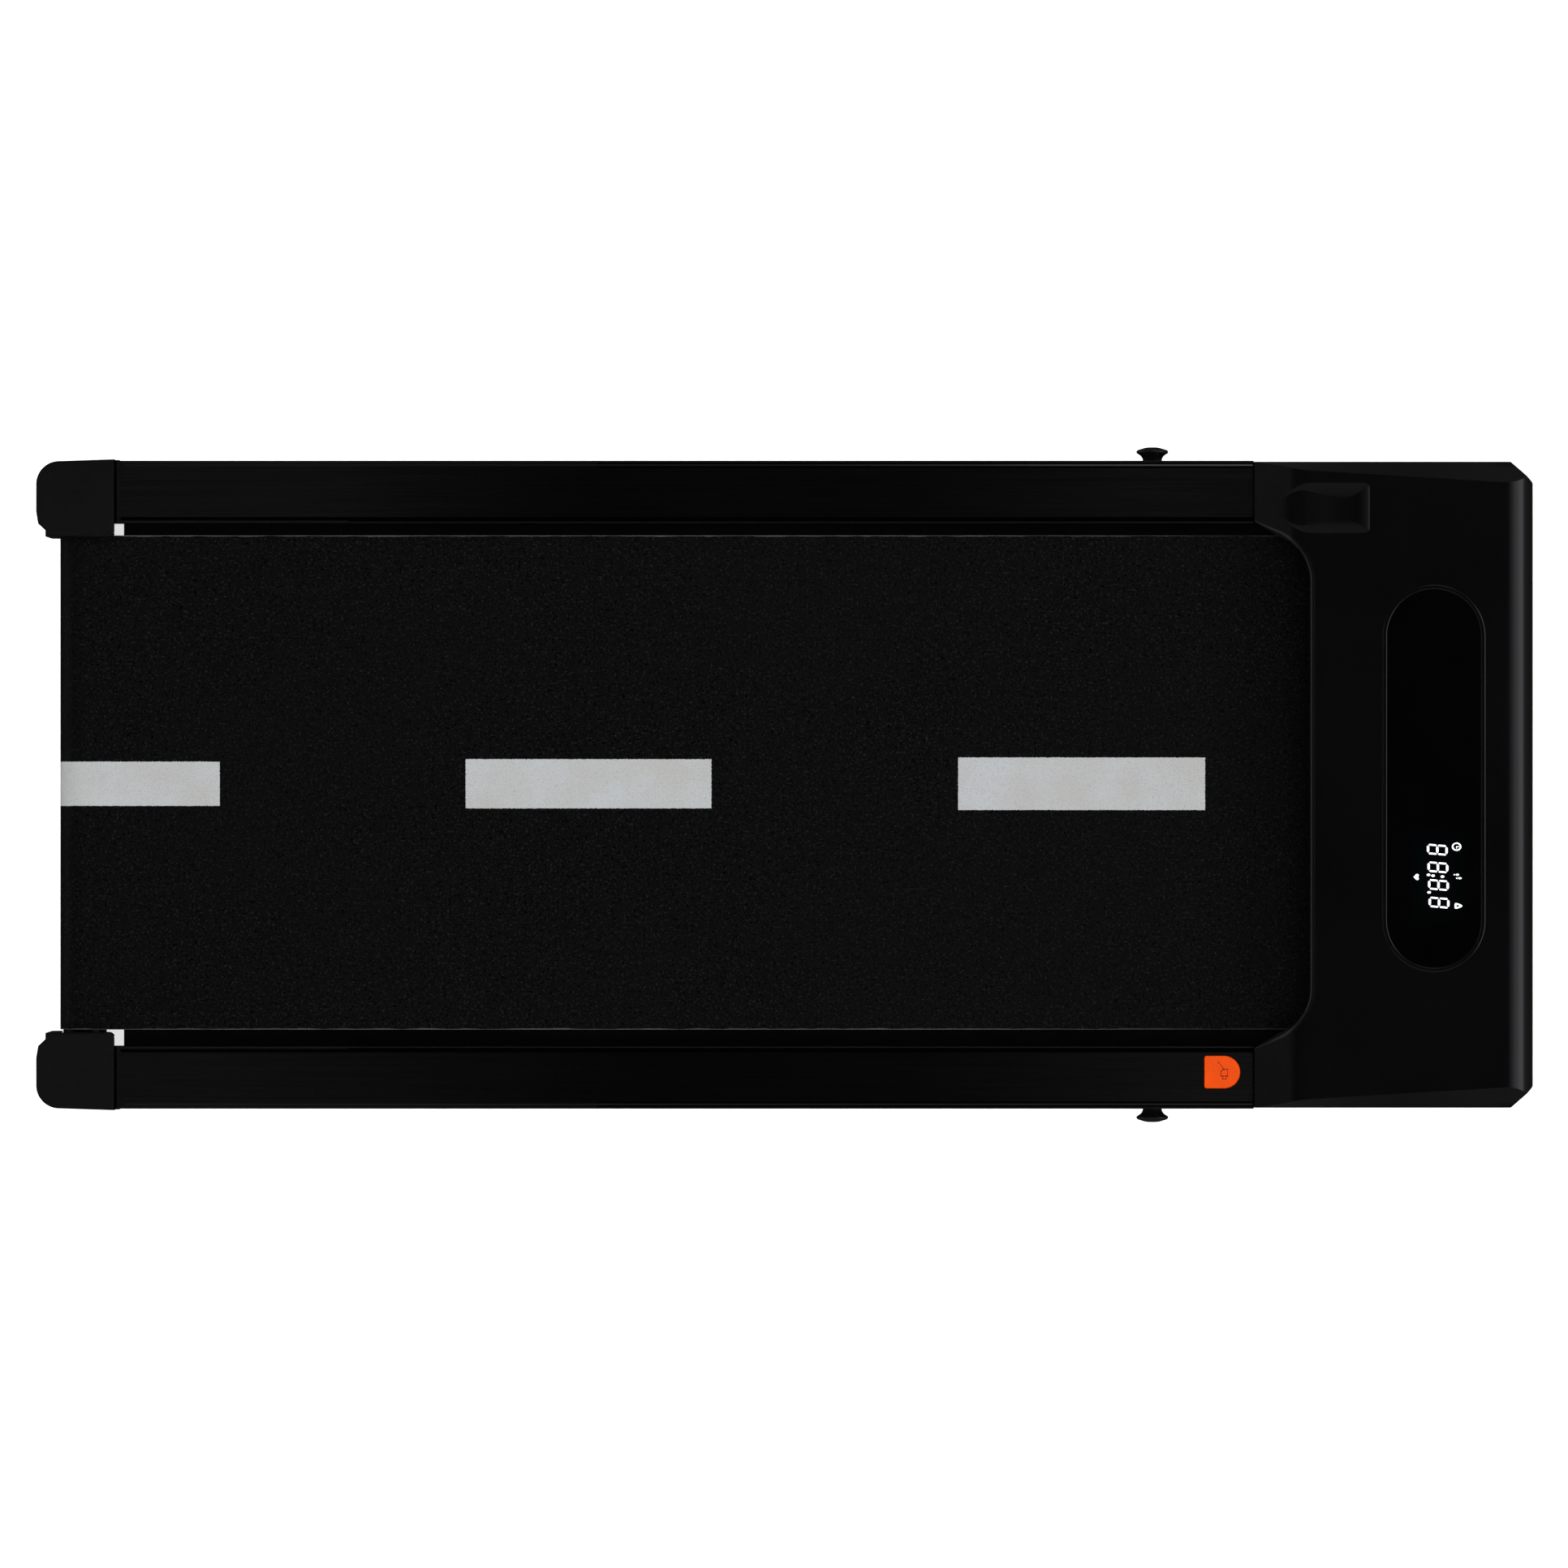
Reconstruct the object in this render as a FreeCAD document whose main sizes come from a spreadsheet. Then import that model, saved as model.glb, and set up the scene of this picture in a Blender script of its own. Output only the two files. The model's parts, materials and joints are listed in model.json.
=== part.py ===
import FreeCAD, Part
import math
import os
import re
import Sketcher
from FreeCAD import Placement, Rotation, Vector

# Under-desk walking pad. Millimetres, +X towards the motor hood, +Y to the walker's left, +Z up.
# The origin is on the floor under the middle of the machine.

SIZES = {
    # Whole machine
    "rear_x": -600, "front_x": 600, "side_y": 259,
    # Steel frame
    "tube_inner_y": 215, "tube_outer_y": 245, "tube_bottom": 18, "tube_top": 50, "tube_wall": 2,
    "tube_rear_x": -540, "tube_front_x": 590, "cross_bottom": 42, "cross_top": 56, "cross_width": 30,
    "bracket_inner_y": 211, "bracket_rear_x": -582, "bracket_front_x": -500, "tab_thick": 4,
    # Deck
    "deck_rear_x": -530.7, "deck_front_x": 430, "deck_half": 240, "deck_bottom": 60, "deck_top": 75,
    "deck_bolt_y": 230, "cushion_radius": 11, "screw_radius": 3, "screw_hole": 3.2,
    # Rollers and walking belt
    "roller_radius": 17.5, "roller_wall": 2, "roller_half": 204, "roller_z": 57.5,
    "rear_roller_x": -563.2, "front_roller_x": 462, "axle_radius": 6, "axle_bore": 6.05,
    "axle_half": 232, "front_axle_half": 243, "bearing_width": 10, "belt_gap": 0.3, "belt_thick": 2,
    "belt_left": 200.3, "belt_right": -196.7, "slack": 6, "bolt_y": 224, "bolt_radius": 4,
    # Side rails
    "rail_outer": 260, "rail_inner": 210, "rail_top": 92, "rail_bottom": 26, "lip_bottom": 77,
    "rail_rear_x": -533, "rail_front_x": 376.5, "rail_skin": 2.5, "web": 3.4, "shoulder": 5.5,
    "rib_pitch": 2, "rib_count": 20, "rib_depth": 0.7, "rib_slot": 0.9, "channel_width": 2.7,
    "channel_depth": 1.6, "clip_top": 88.4,
    # Rear end caps
    "cap_seam_x": -537.2, "cap_inner": 199, "cap_top": 94, "cap_bottom": 20, "cap_wall": 2.5,
    "cap_corner": 18.5, "cap_flare": 2, "collar_top": 92.6, "window_top": 81, "collar_x": -533.3,
    # Hood
    "hood_top": 118, "hood_bottom": 18.2, "hood_wall": 3, "ramp_foot": 93, "ramp_top_x": 412,
    "front_round": 25, "corner_cut": 17.6, "mouth_x": 423.8, "mouth_root": 212, "mouth_slope": 0.43,
    "mouth_round": 45, "mouth_bottom": 82, "crown_gap": 0.3,
    "bevel_rear_inset": 5, "bevel_front_inset": 18.7,
    # Finger scoop: a brow on the ramp, a bowl behind it and a rim on the flat top
    "scoop_y": 221.3, "scoop_half": 20.1, "scoop_draft": 1.28, "scoop_depth": 11,
    "scoop_brow_x": 411, "scoop_brow_z": 114.2, "scoop_brow": 24,
    "scoop_bowl_x": 456.5, "scoop_bowl_z": 106.6, "scoop_bowl": 32,
    "scoop_rim_x": 467.9, "scoop_rim_slope": 1.0, "scoop_corner": 5,
    "scoop_approach": 16, "scoop_approach_drop": 7.6, "scoop_reach": 100,
    # Display
    "display_x": 519.2, "display_y": 5, "bezel_length": 310.7, "bezel_width": 82.3, "bezel_rise": 1,
    "lens_length": 302, "lens_width": 74.5,
    # Base pan, wheels and feet
    "pan_rear_x": 430, "pan_thick": 2, "wheel_x": 571, "wheel_z": 23.5, "wheel_radius": 22,
    "wheel_inner": 197, "wheel_outer": 213, "foot_radius": 18, "foot_y": 230,
    # Drive
    "pulley_radius": 28, "pulley_outer": 213, "pulley_inner": 199, "pulley_ratio": 2.8,
    "motor_x": 522, "motor_z": 64, "motor_radius": 36, "motor_left": -30, "motor_right": -182,
    "flywheel_radius": 30, "shaft_radius": 5, "drive_belt_thick": 2.5,
    # Side knobs
    "knob_x": 296.7, "knob_z": 46, "knob_radius": 13, "knob_neck": 7.4, "knob_reach": 12,
    "stud_radius": 4, "bush_bore": 4.05, "bush_radius": 9,
    # Oil port
    "port_x": 352.4, "port_y": 230.4, "port_radius": 13.1, "port_length": 28.8, "plug_rise": 1.2,
    # Mains panel
    "panel_x": 592, "inlet_y": 158, "switch_y": 112, "breaker_y": 86, "panel_z": 58,
    "panel_right": 70, "panel_left": 192, "panel_margin": 6,
    # Motor control board on its heat sink
    "board_rear": 490, "board_front": 550, "board_right": 40, "board_left": 180,
    "board_bottom": 50, "board_top": 51.6, "sink_right": 46, "sink_left": 134, "sink_bottom": 42,
    "sink_top": 46, "fin_bottom": 25, "fin_pitch": 10, "capacitor_radius": 12, "capacitor_y": 96,
}
PLACES = {
    "cross_members": (-470, -180, 110, 400),
    "cushions": (-450, -225, 0, 225, 405),
    "deck_screws": (-340, -110, 110, 330),
    "clips": (-500, -250, 20, 320),
    "feet": (-500, -30, 408),
    "hood_screws": (450, 530),
}
TURN = {"x": Rotation(Vector(0, 1, 0), 90), "y": Rotation(Vector(1, 0, 0), -90), "z": Rotation()}
SIDES = {"left": 1, "right": -1}
CUT_MARGIN = 20

doc = FreeCAD.newDocument("walking_pad")
sheet = doc.addObject("Spreadsheet::Sheet", "sizes")
pieces = []


def fill_sheet():
    for row, (alias, size) in enumerate(SIZES.items(), 1):
        sheet.set(f"A{row}", alias)
        sheet.set(f"B{row}", str(size))
        sheet.setAlias(f"B{row}", alias)
    doc.recompute()


def formula(text):
    """Write a formula's plain size names as references to the sheet."""
    return re.sub(r"[a-z][a-z_]*", lambda word: "sizes." * (word[0] in SIZES) + word[0], str(text))


def size(text):
    return float(sheet.evalExpression(formula(text)))


def keep(item, label):
    """Name a finished piece and list it for writing."""
    item.Label = label
    pieces.append(item)
    return item


def place(item, x=0, y=0, z=0, axis="z"):
    item.Placement = Placement(Vector(), TURN[axis])
    for letter, text in zip("xyz", (x, y, z)):
        item.setExpression(f"Placement.Base.{letter}", formula(text))
    return item


def box(name, x, y, z):
    """A block from pairs of lowest and highest formulas."""
    block = doc.addObject("Part::Box", name)
    for side, (low, high) in zip(("Length", "Width", "Height"), (x, y, z)):
        block.setExpression(side, formula(f"({high}) - ({low})"))
    return place(block, x[0], y[0], z[0])


def rod(name, axis, at, radius, length):
    """A cylinder that starts at a point and runs along a positive axis."""
    cylinder = doc.addObject("Part::Cylinder", name)
    cylinder.setExpression("Radius", formula(radius))
    cylinder.setExpression("Height", formula(length))
    return place(cylinder, *at, axis)


def join(name, *items):
    fuse = doc.addObject("Part::MultiFuse", name)
    fuse.Shapes = list(items)
    fuse.Refine = True
    return fuse


def cut(name, base, *tools):
    result = doc.addObject("Part::Cut", name)
    result.Base = base
    result.Tool = tools[0] if len(tools) == 1 else join(name + "_tools", *tools)
    return result


def common(name, first, second):
    result = doc.addObject("Part::Common", name)
    result.Base = first
    result.Tool = second
    return result


def group(name, items):
    compound = doc.addObject("Part::Compound", name)
    compound.Links = list(items)
    return compound


def mirror(name, item):
    """The same piece on the walker's right."""
    image = doc.addObject("Part::Mirroring", name)
    image.Source = item
    image.Normal = Vector(0, 1, 0)
    return image


def both_sides(label, item):
    keep(item, f"{label}_left")
    keep(mirror(f"{label}_image", item), f"{label}_right")


def ring(name, axis, at, outer, inner, length):
    return cut(name, rod(name + "_solid", axis, at, outer, length),
               rod(name + "_bore", axis, at, inner, length))


def stadium(name, x, y, width, length, z):
    """A slab with round ends, longest along Y."""
    reach = f"(({length}) - ({width})) / 2"
    middle = box(name + "_middle", (f"{x} - ({width}) / 2", f"{x} + ({width}) / 2"),
                 (f"{y} - {reach}", f"{y} + {reach}"), z)
    ends = [rod(f"{name}_end_{index}", "z", (x, f"{y} + ({sign}) * {reach}", z[0]),
                f"({width}) / 2", f"({z[1]}) - ({z[0]})") for index, sign in enumerate((-1, 1))]
    return join(name, middle, *ends)


def outline(body, name, plane, corners, offset=0):
    """A sketch of straight sides through (across, up) corners, some with a third value, a radius."""
    sketch = body.newObject("Sketcher::SketchObject", name)
    base = [item for item in body.Origin.OriginFeatures if item.Role == plane][0]
    sketch.AttachmentSupport = [(base, "")]
    sketch.MapMode = "FlatFace"
    sketch.setExpression("AttachmentOffset.Base.z", formula(offset))
    points = [Vector(size(corner[0]), size(corner[1]), 0) for corner in corners]
    count = len(points)
    leave, arrive, arcs = list(points), list(points), {}
    for index, corner in enumerate(corners):
        if len(corner) == 3:
            radius = size(corner[2])
            back = (points[index - 1] - points[index]).normalize()
            ahead = (points[(index + 1) % count] - points[index]).normalize()
            half = back.getAngle(ahead) / 2
            arrive[index] = points[index] + back * (radius / math.tan(half))
            leave[index] = points[index] + ahead * (radius / math.tan(half))
            centre = points[index] + (back + ahead).normalize() * (radius / math.sin(half))
            arcs[index] = (centre, radius)
    lines = [sketch.addGeometry(Part.LineSegment(leave[i], arrive[(i + 1) % count]), False)
             for i in range(count)]
    for index, corner in enumerate(corners):
        before, after = lines[index - 1], lines[index]
        if index in arcs:
            held = (add_arc(sketch, arcs[index], arrive[index], leave[index], before, after,
                            points[index], corner[2]), 1)
        else:
            sketch.addConstraint(Sketcher.Constraint("Coincident", before, 2, after, 1))
            held = (after, 1)
        for kind, text, value, axis in (("DistanceX", corner[0], points[index].x, -2),
                                        ("DistanceY", corner[1], points[index].y, -1)):
            if abs(value) < 1e-9:
                sketch.addConstraint(Sketcher.Constraint("PointOnObject", *held, axis))
            else:
                number = sketch.addConstraint(Sketcher.Constraint(kind, -1, 1, *held, value))
                sketch.setExpression(f"Constraints[{number}]", formula(text))
    return sketch


def add_arc(sketch, arc, start, end, before, after, corner, radius_text):
    """Round one corner of an outline and return the construction point at the sharp corner."""
    centre, radius = arc
    point = sketch.addGeometry(Part.Point(corner), True)
    sketch.addConstraint(Sketcher.Constraint("PointOnObject", point, 1, before))
    sketch.addConstraint(Sketcher.Constraint("PointOnObject", point, 1, after))
    anticlockwise = (start - centre).cross(end - centre).z > 0
    middle = centre + ((start + end) * 0.5 - centre).normalize() * radius
    curve = sketch.addGeometry(Part.Arc(start, middle, end), False)
    first, last = (1, 2) if anticlockwise else (2, 1)
    sketch.addConstraint(Sketcher.Constraint("Tangent", before, 2, curve, first))
    sketch.addConstraint(Sketcher.Constraint("Tangent", curve, last, after, 1))
    number = sketch.addConstraint(Sketcher.Constraint("Radius", curve, radius))
    sketch.setExpression(f"Constraints[{number}]", formula(radius_text))
    return point


def padded(name, plane, corners, length, offset=0, symmetric=False):
    """A body made by padding one outline."""
    body = doc.addObject("PartDesign::Body", name)
    sketch = outline(body, name + "_outline", plane, corners, offset)
    pad = body.newObject("PartDesign::Pad", name + "_pad")
    pad.Profile = sketch
    pad.setExpression("Length", formula(length))
    if symmetric:
        pad.SideType = "Symmetric"
    return body


def turned(name, corners, axis="z", at=(0, 0, 0)):
    """A body turned from (radius, height) corners about its own axis, then placed along an axis."""
    body = doc.addObject("PartDesign::Body", name)
    sketch = outline(body, name + "_outline", "XZ_Plane", corners)
    revolution = body.newObject("PartDesign::Revolution", name + "_turn")
    revolution.Profile = sketch
    revolution.ReferenceAxis = (sketch, ["V_Axis"])
    revolution.Angle = 360
    return place(body, *at, axis)


def mirrored_pair(name, item):
    return [item, mirror(name + "_image", item)]


def frame():
    side = box("tube_solid", ("tube_rear_x", "tube_front_x"), ("tube_inner_y", "tube_outer_y"),
               ("tube_bottom", "tube_top"))
    hollow = box("tube_hollow", ("tube_rear_x", "tube_front_x"),
                 ("tube_inner_y + tube_wall", "tube_outer_y - tube_wall"),
                 ("tube_bottom + tube_wall", "tube_top - tube_wall"))
    holes = [rod(f"tube_foot_hole_{i}", "z", (x, "foot_y", "tube_bottom - 1"), "screw_hole", 6)
             for i, x in enumerate(PLACES["feet"])]
    holes += [rod(f"tube_deck_hole_{i}", "z", (x, "deck_bolt_y", "tube_top - 5"), "screw_hole", 6)
              for i, x in enumerate(PLACES["deck_screws"])]
    holes.append(rod("tube_knob_hole", "y", ("knob_x", "tube_outer_y - 5", "knob_z"), 6.3, 6))
    holes.append(rod("tube_wheel_hole", "y", ("wheel_x", "tube_inner_y - 1", "wheel_z"), 4.1, 4))
    both_sides("frame_tube", cut("frame_tube", side, hollow, *holes))
    for number, x in enumerate(PLACES["cross_members"], 1):
        keep(cross_member(f"cross_{number}", x), f"cross_member_{number}")
    keep(box("motor_plate", ("motor_x - 24", "motor_x + 22"), ("-tube_inner_y", "tube_inner_y"),
             (22, 25)), "motor_plate")


def cross_member(name, x):
    solid = box(name + "_solid", (f"{x} - cross_width / 2", f"{x} + cross_width / 2"),
                ("-tube_inner_y", "tube_inner_y"), ("cross_bottom", "cross_top"))
    hollow = box(name + "_hollow", (f"{x} - cross_width / 2 + 2", f"{x} + cross_width / 2 - 2"),
                 ("-tube_inner_y", "tube_inner_y"), ("cross_bottom + 2", "cross_top - 2"))
    return cut(name, solid, hollow)


def rear_brackets():
    """Plates that carry the rear axle in a slot, with a tab for the tension bolt."""
    tall = box("bracket_tall", ("bracket_rear_x", "tube_rear_x + 6"),
               ("bracket_inner_y", "tube_inner_y"), ("tube_bottom + 2", "deck_top - 3"))
    low = box("bracket_low", ("tube_rear_x", "bracket_front_x"), ("bracket_inner_y", "tube_inner_y"),
              ("tube_bottom + 2", "tube_top"))
    tab = box("bracket_tab", ("bracket_rear_x", "bracket_rear_x + tab_thick"),
              ("bracket_inner_y", "tube_outer_y - 9"), ("roller_z - 13", "roller_z + 12"))
    slot = box("bracket_slot", ("rear_roller_x", "rear_roller_x + slack"),
               ("bracket_inner_y - 1", "tube_inner_y + 1"),
               ("roller_z - axle_bore", "roller_z + axle_bore"))
    rear_end = rod("bracket_slot_rear", "y", ("rear_roller_x", "bracket_inner_y - 1", "roller_z"),
                   "axle_bore", 6)
    front_end = rod("bracket_slot_front", "y",
                    ("rear_roller_x + slack", "bracket_inner_y - 1", "roller_z"), "axle_bore", 6)
    hole = rod("bracket_bolt_hole", "x", ("bracket_rear_x - 1", "bolt_y", "roller_z"),
               "bolt_radius + 0.3", "tab_thick + 2")
    plate = join("bracket_plate", tall, low, tab)
    both_sides("rear_bracket", cut("rear_bracket", plate, slot, rear_end, front_end, hole))


def tension_bolts():
    head = rod("bolt_head", "x", ("bracket_rear_x - 8", "bolt_y", "roller_z"), 6.5, 8)
    shank = rod("bolt_shank", "x", ("bracket_rear_x", "bolt_y", "roller_z"), "bolt_radius", 38)
    socket = turned("bolt_socket", ((0, -1), (3.4, -1), (3.4, 5), (0, 7)), "x",
                    ("bracket_rear_x - 8", "bolt_y", "roller_z"))
    both_sides("tension_bolt", cut("tension_bolt", join("tension_bolt_solid", head, shank), socket))


def axle_blocks():
    """Blocks on the tubes that hold the front axle."""
    block = box("axle_block_solid", ("front_roller_x - 14", "front_roller_x + 14"),
                ("tube_inner_y + 1", "tube_outer_y - 1"), ("tube_top", "roller_z + 11"))
    bore = rod("axle_block_bore", "y", ("front_roller_x", "tube_inner_y", "roller_z"), "axle_bore", 40)
    keep(group("axle_blocks", mirrored_pair("axle_block", cut("axle_block", block, bore))), "axle_blocks")


def deck():
    board = box("deck_solid", ("deck_rear_x", "deck_front_x"), ("-deck_half", "deck_half"),
                ("deck_bottom", "deck_top"))
    holes, screws, pads, clips = [], [], [], []
    for index, x in enumerate(PLACES["deck_screws"]):
        at = (x, "deck_bolt_y", "tube_top - 10")
        profile = ((0, 0), ("screw_radius", 0), ("screw_radius", "deck_top - tube_top + 6"),
                   ("screw_radius + 3.2", "deck_top - tube_top + 9.2"), (0, "deck_top - tube_top + 9.2"))
        screws += mirrored_pair(f"deck_screw_{index}", turned(f"deck_screw_{index}", profile, "z", at))
        wide = (("screw_hole", -1), ("screw_hole", "deck_top - tube_top + 5.9"),
                ("screw_hole + 3.2", "deck_top - tube_top + 9.1"),
                ("screw_hole + 3.2", "deck_top - tube_top + 12"))
        hole = turned(f"deck_hole_{index}", ((0, -1),) + wide + ((0, "deck_top - tube_top + 12"),),
                      "z", at)
        holes += mirrored_pair(f"deck_hole_{index}", hole)
    keep(cut("deck_board", board, *holes), "deck_board")
    keep(group("deck_screws", screws), "deck_screws")
    for index, x in enumerate(PLACES["cushions"]):
        profile = ((0, "tube_top"), ("cushion_radius", "tube_top"),
                   ("cushion_radius - 2", "(tube_top + deck_bottom) / 2", 2),
                   ("cushion_radius", "deck_bottom"), (0, "deck_bottom"))
        pads += mirrored_pair(f"cushion_{index}",
                              turned(f"cushion_{index}", profile, "z", (x, "deck_bolt_y", 0)))
    keep(group("deck_cushions", pads), "deck_cushions")
    for index, x in enumerate(PLACES["clips"]):
        clip = box(f"clip_{index}", (f"{x} - 18", f"{x} + 18"), ("rail_inner + 7", "deck_half - 1"),
                   ("deck_top", "clip_top"))
        clips += mirrored_pair(f"clip_{index}", clip)
    keep(group("rail_clips", clips), "rail_clips")


def side_rails():
    """Ribbed channels: an outer wall, a ribbed top and a thin inner lip."""
    corners = (("rail_outer", "rail_bottom"), ("rail_outer", "rail_top", "shoulder - 0.2"),
               ("rail_inner", "rail_top"), ("rail_inner", "lip_bottom"),
               ("rail_inner + 2", "lip_bottom"), ("rail_inner + 2", "rail_top - web"),
               ("rail_outer - rail_skin", "rail_top - web"), ("rail_outer - rail_skin", "rail_bottom"))
    body = padded("rail", "YZ_Plane", corners, "rail_front_x - rail_rear_x", "rail_rear_x")
    slot = rail_slot(body, "rib_slot_cut", "rail_outer - shoulder - rib_slot", "rib_slot", "rib_depth")
    doc.recompute()
    pattern = body.newObject("PartDesign::LinearPattern", "rib_slots")
    pattern.Originals = [slot]
    pattern.Direction = ([item for item in body.Origin.OriginFeatures if item.Role == "Y_Axis"][0], [""])
    pattern.Reversed = True
    pattern.setExpression("Length", formula("rib_pitch * (rib_count - 1)"))
    pattern.setExpression("Occurrences", formula("rib_count"))
    body.Tip = pattern
    doc.recompute()
    rail_slot(body, "shoulder_slot_cut", "rail_outer - 3.9", 0.6, 0.7)
    rail_slot(body, "inner_channel_cut", "rail_inner + 2", "channel_width", "channel_depth")
    doc.recompute()
    knob = rod("rail_knob_hole", "y", ("knob_x", "rail_outer - 4", "knob_z"), "bush_radius + 0.3", 8)
    port = port_shape("rail_port_hole", 0.3, ("rail_top - 8", "rail_top + 1"))
    both_sides_rail(cut("rail_with_knob_hole", body, knob), port)


def rail_slot(body, name, low, width, depth):
    """A groove along the whole rail's top."""
    corners = ((low, "rail_top + 1"), (low, f"rail_top - {depth}"),
               (f"{low} + {width}", f"rail_top - {depth}"), (f"{low} + {width}", "rail_top + 1"))
    sketch = outline(body, name + "_outline", "YZ_Plane", corners, "rail_rear_x - 1")
    pocket = body.newObject("PartDesign::Pocket", name)
    pocket.Profile = sketch
    pocket.Reversed = True
    pocket.setExpression("Length", formula("rail_front_x - rail_rear_x + 2"))
    return pocket


def both_sides_rail(rail, port):
    """Only the right rail has the oil port."""
    keep(rail, "side_rail_left")
    keep(cut("rail_with_port", mirror("rail_image", rail), port), "side_rail_right")


def port_shape(name, margin, z):
    """The oil port's D: a half circle towards the hood and a flat end towards the rear."""
    nose = rod(name + "_nose", "z", ("port_x", "-port_y", z[0]), f"port_radius + {margin}",
               f"({z[1]}) - ({z[0]})")
    rear = f"port_x + port_radius - port_length - {margin}"
    reach = f"port_radius + {margin}"
    block = padded(name + "_block", "XY_Plane",
                   ((rear, f"-port_y - ({reach})", 2), ("port_x", f"-port_y - ({reach})"),
                    ("port_x", f"-port_y + {reach}"), (rear, f"-port_y + {reach}", 2)),
                   f"({z[1]}) - ({z[0]})", z[0])
    return join(name, nose, block)


def oil_port():
    cap = port_shape("plug_cap", 0, ("rail_top - web + 0.6", "rail_top + plug_rise"))
    stem = rod("plug_stem", "z", ("port_x - 1.5", "-port_y", "rail_top - 10"), 6.5, 8)
    keep(join("oil_plug", cap, stem), "oil_plug")
    liner = ring("port_liner", "z", ("port_x - 1.5", "-port_y", "deck_top + 1.5"), 9, 7, 11.5)
    keep(liner, "oil_port_liner")


def rear_caps():
    """End caps: a top plate, outer and rear walls, and a window where the roller passes in."""
    corners = (("rear_x", "side_y", "cap_corner"), ("cap_seam_x", "side_y + cap_flare"),
               ("cap_seam_x", "cap_inner - 0.7", 5), ("rear_x + 15.5", "cap_inner"),
               ("rear_x + 7.4", "cap_inner"), ("rear_x + 7.4", "cap_inner + 5"),
               ("rear_x + 1.6", "cap_inner + 10.5"), ("rear_x", "cap_inner + 20"))
    body = padded("cap_shell", "XY_Plane", corners, "cap_top - cap_bottom", "cap_bottom")
    doc.recompute()
    block = body.Tip
    top_edges = [f"Edge{i}" for i, edge in enumerate(block.Shape.Edges, 1)
                 if edge.BoundBox.ZMin > size("cap_top") - 0.01]
    rounding = body.newObject("PartDesign::Fillet", "cap_rounding")
    rounding.Base = (block, top_edges)
    rounding.Radius = 2
    doc.recompute()
    hollow = padded("cap_hollow", "XY_Plane",
                    (("rear_x + cap_wall", "side_y - cap_wall", "cap_corner - cap_wall"),
                     ("cap_seam_x + 1", "side_y + cap_flare - cap_wall"),
                     ("cap_seam_x + 1", "cap_inner + cap_wall"),
                     ("rear_x + 12", "cap_inner + cap_wall"),
                     ("rear_x + 12", "cap_inner + cap_wall + 6"),
                     ("rear_x + cap_wall", "cap_inner + 20")),
                    "cap_top - cap_wall - cap_bottom + 1", "cap_bottom - 1")
    window = box("cap_window", ("rear_x + 16", "cap_seam_x + 1"), ("cap_inner - 2", "cap_inner + 10"),
                 ("cap_bottom - 1", "window_top"))
    hole = rod("cap_bolt_hole", "x", ("rear_x - 1", "bolt_y", "roller_z"), 7.5, 5)
    shell = cut("cap_cut", body, hollow, window, hole)
    collar = box("cap_collar", ("cap_seam_x - 3", "collar_x"), ("rail_inner", "rail_outer + 0.4"),
                 ("rail_bottom", "collar_top"))
    collar_hollow = box("cap_collar_hollow", ("cap_seam_x - 4", "collar_x + 1"),
                        ("rail_inner - 1", "rail_outer - rail_skin"),
                        ("rail_bottom - 1", "rail_top - web - 0.6"))
    tongue = box("cap_tongue", ("collar_x - 5", "collar_x + 12"), ("rail_inner + 10", "rail_outer - 8"),
                 ("rail_top - web - 4", "rail_top - web - 0.3"))
    both_sides("rear_cap", join("rear_cap", shell, cut("cap_collar_cut", collar, collar_hollow), tongue))


def roller(name, x, length_low, length_high):
    return ring(name, "y", (x, length_low, "roller_z"), "roller_radius", "roller_radius - roller_wall",
                f"({length_high}) - ({length_low})")


def bearing(name, x, y):
    """A sealed ball bearing, drawn as one ring with a groove in each face."""
    outer = "roller_radius - roller_wall - 0.02"
    profile = (("axle_bore", 0), ("axle_bore + 2.5", 0), ("axle_bore + 2.5", 0.6), (f"{outer} - 2.5", 0.6),
               (f"{outer} - 2.5", 0), (outer, 0), (outer, "bearing_width"),
               (f"{outer} - 2.5", "bearing_width"), (f"{outer} - 2.5", "bearing_width - 0.6"),
               ("axle_bore + 2.5", "bearing_width - 0.6"), ("axle_bore + 2.5", "bearing_width"),
               ("axle_bore", "bearing_width"))
    return turned(name, profile, "y", (x, y, "roller_z"))


def rollers():
    keep(roller("rear_tube", "rear_roller_x", "-roller_half", "roller_half"), "rear_roller_tube")
    keep(roller("front_tube", "front_roller_x", "-pulley_inner + 1", "roller_half"), "front_roller_tube")
    for end, left, right in (("rear", "roller_half", "roller_half"),
                             ("front", "roller_half", "pulley_outer")):
        x = f"{end}_roller_x"
        keep(group(f"{end}_bearings", [bearing(f"{end}_bearing_left", x, f"{left} - bearing_width - 1"),
                                       bearing(f"{end}_bearing_right", x, f"1 - {right}")]),
             f"{end}_roller_bearings")
    rear = rod("rear_axle_bar", "y", ("rear_roller_x", "-axle_half", "roller_z"), "axle_radius",
               "2 * axle_half")
    threads = [rod(f"rear_axle_thread_{side}", "x",
                   ("rear_roller_x - 10", f"{sign} * bolt_y", "roller_z"), "bolt_radius + 0.05", 20)
               for side, sign in SIDES.items()]
    keep(cut("rear_axle", rear, *threads), "rear_axle")
    keep(rod("front_axle", "y", ("front_roller_x", "-front_axle_half", "roller_z"), "axle_radius",
             "2 * front_axle_half"), "front_axle")


def loop(name, ends, thick, width, low):
    """A closed band round two rollers, each given as (x, z, radius)."""
    band = doc.addObject("Part::Feature", name)
    face = Part.Face(tangent_loop(ends, thick)).cut(Part.Face(tangent_loop(ends, 0)))
    band.Shape = face.extrude(Vector(0, width, 0))
    band.Placement = Placement(Vector(0, low, 0), Rotation())
    return band


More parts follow.
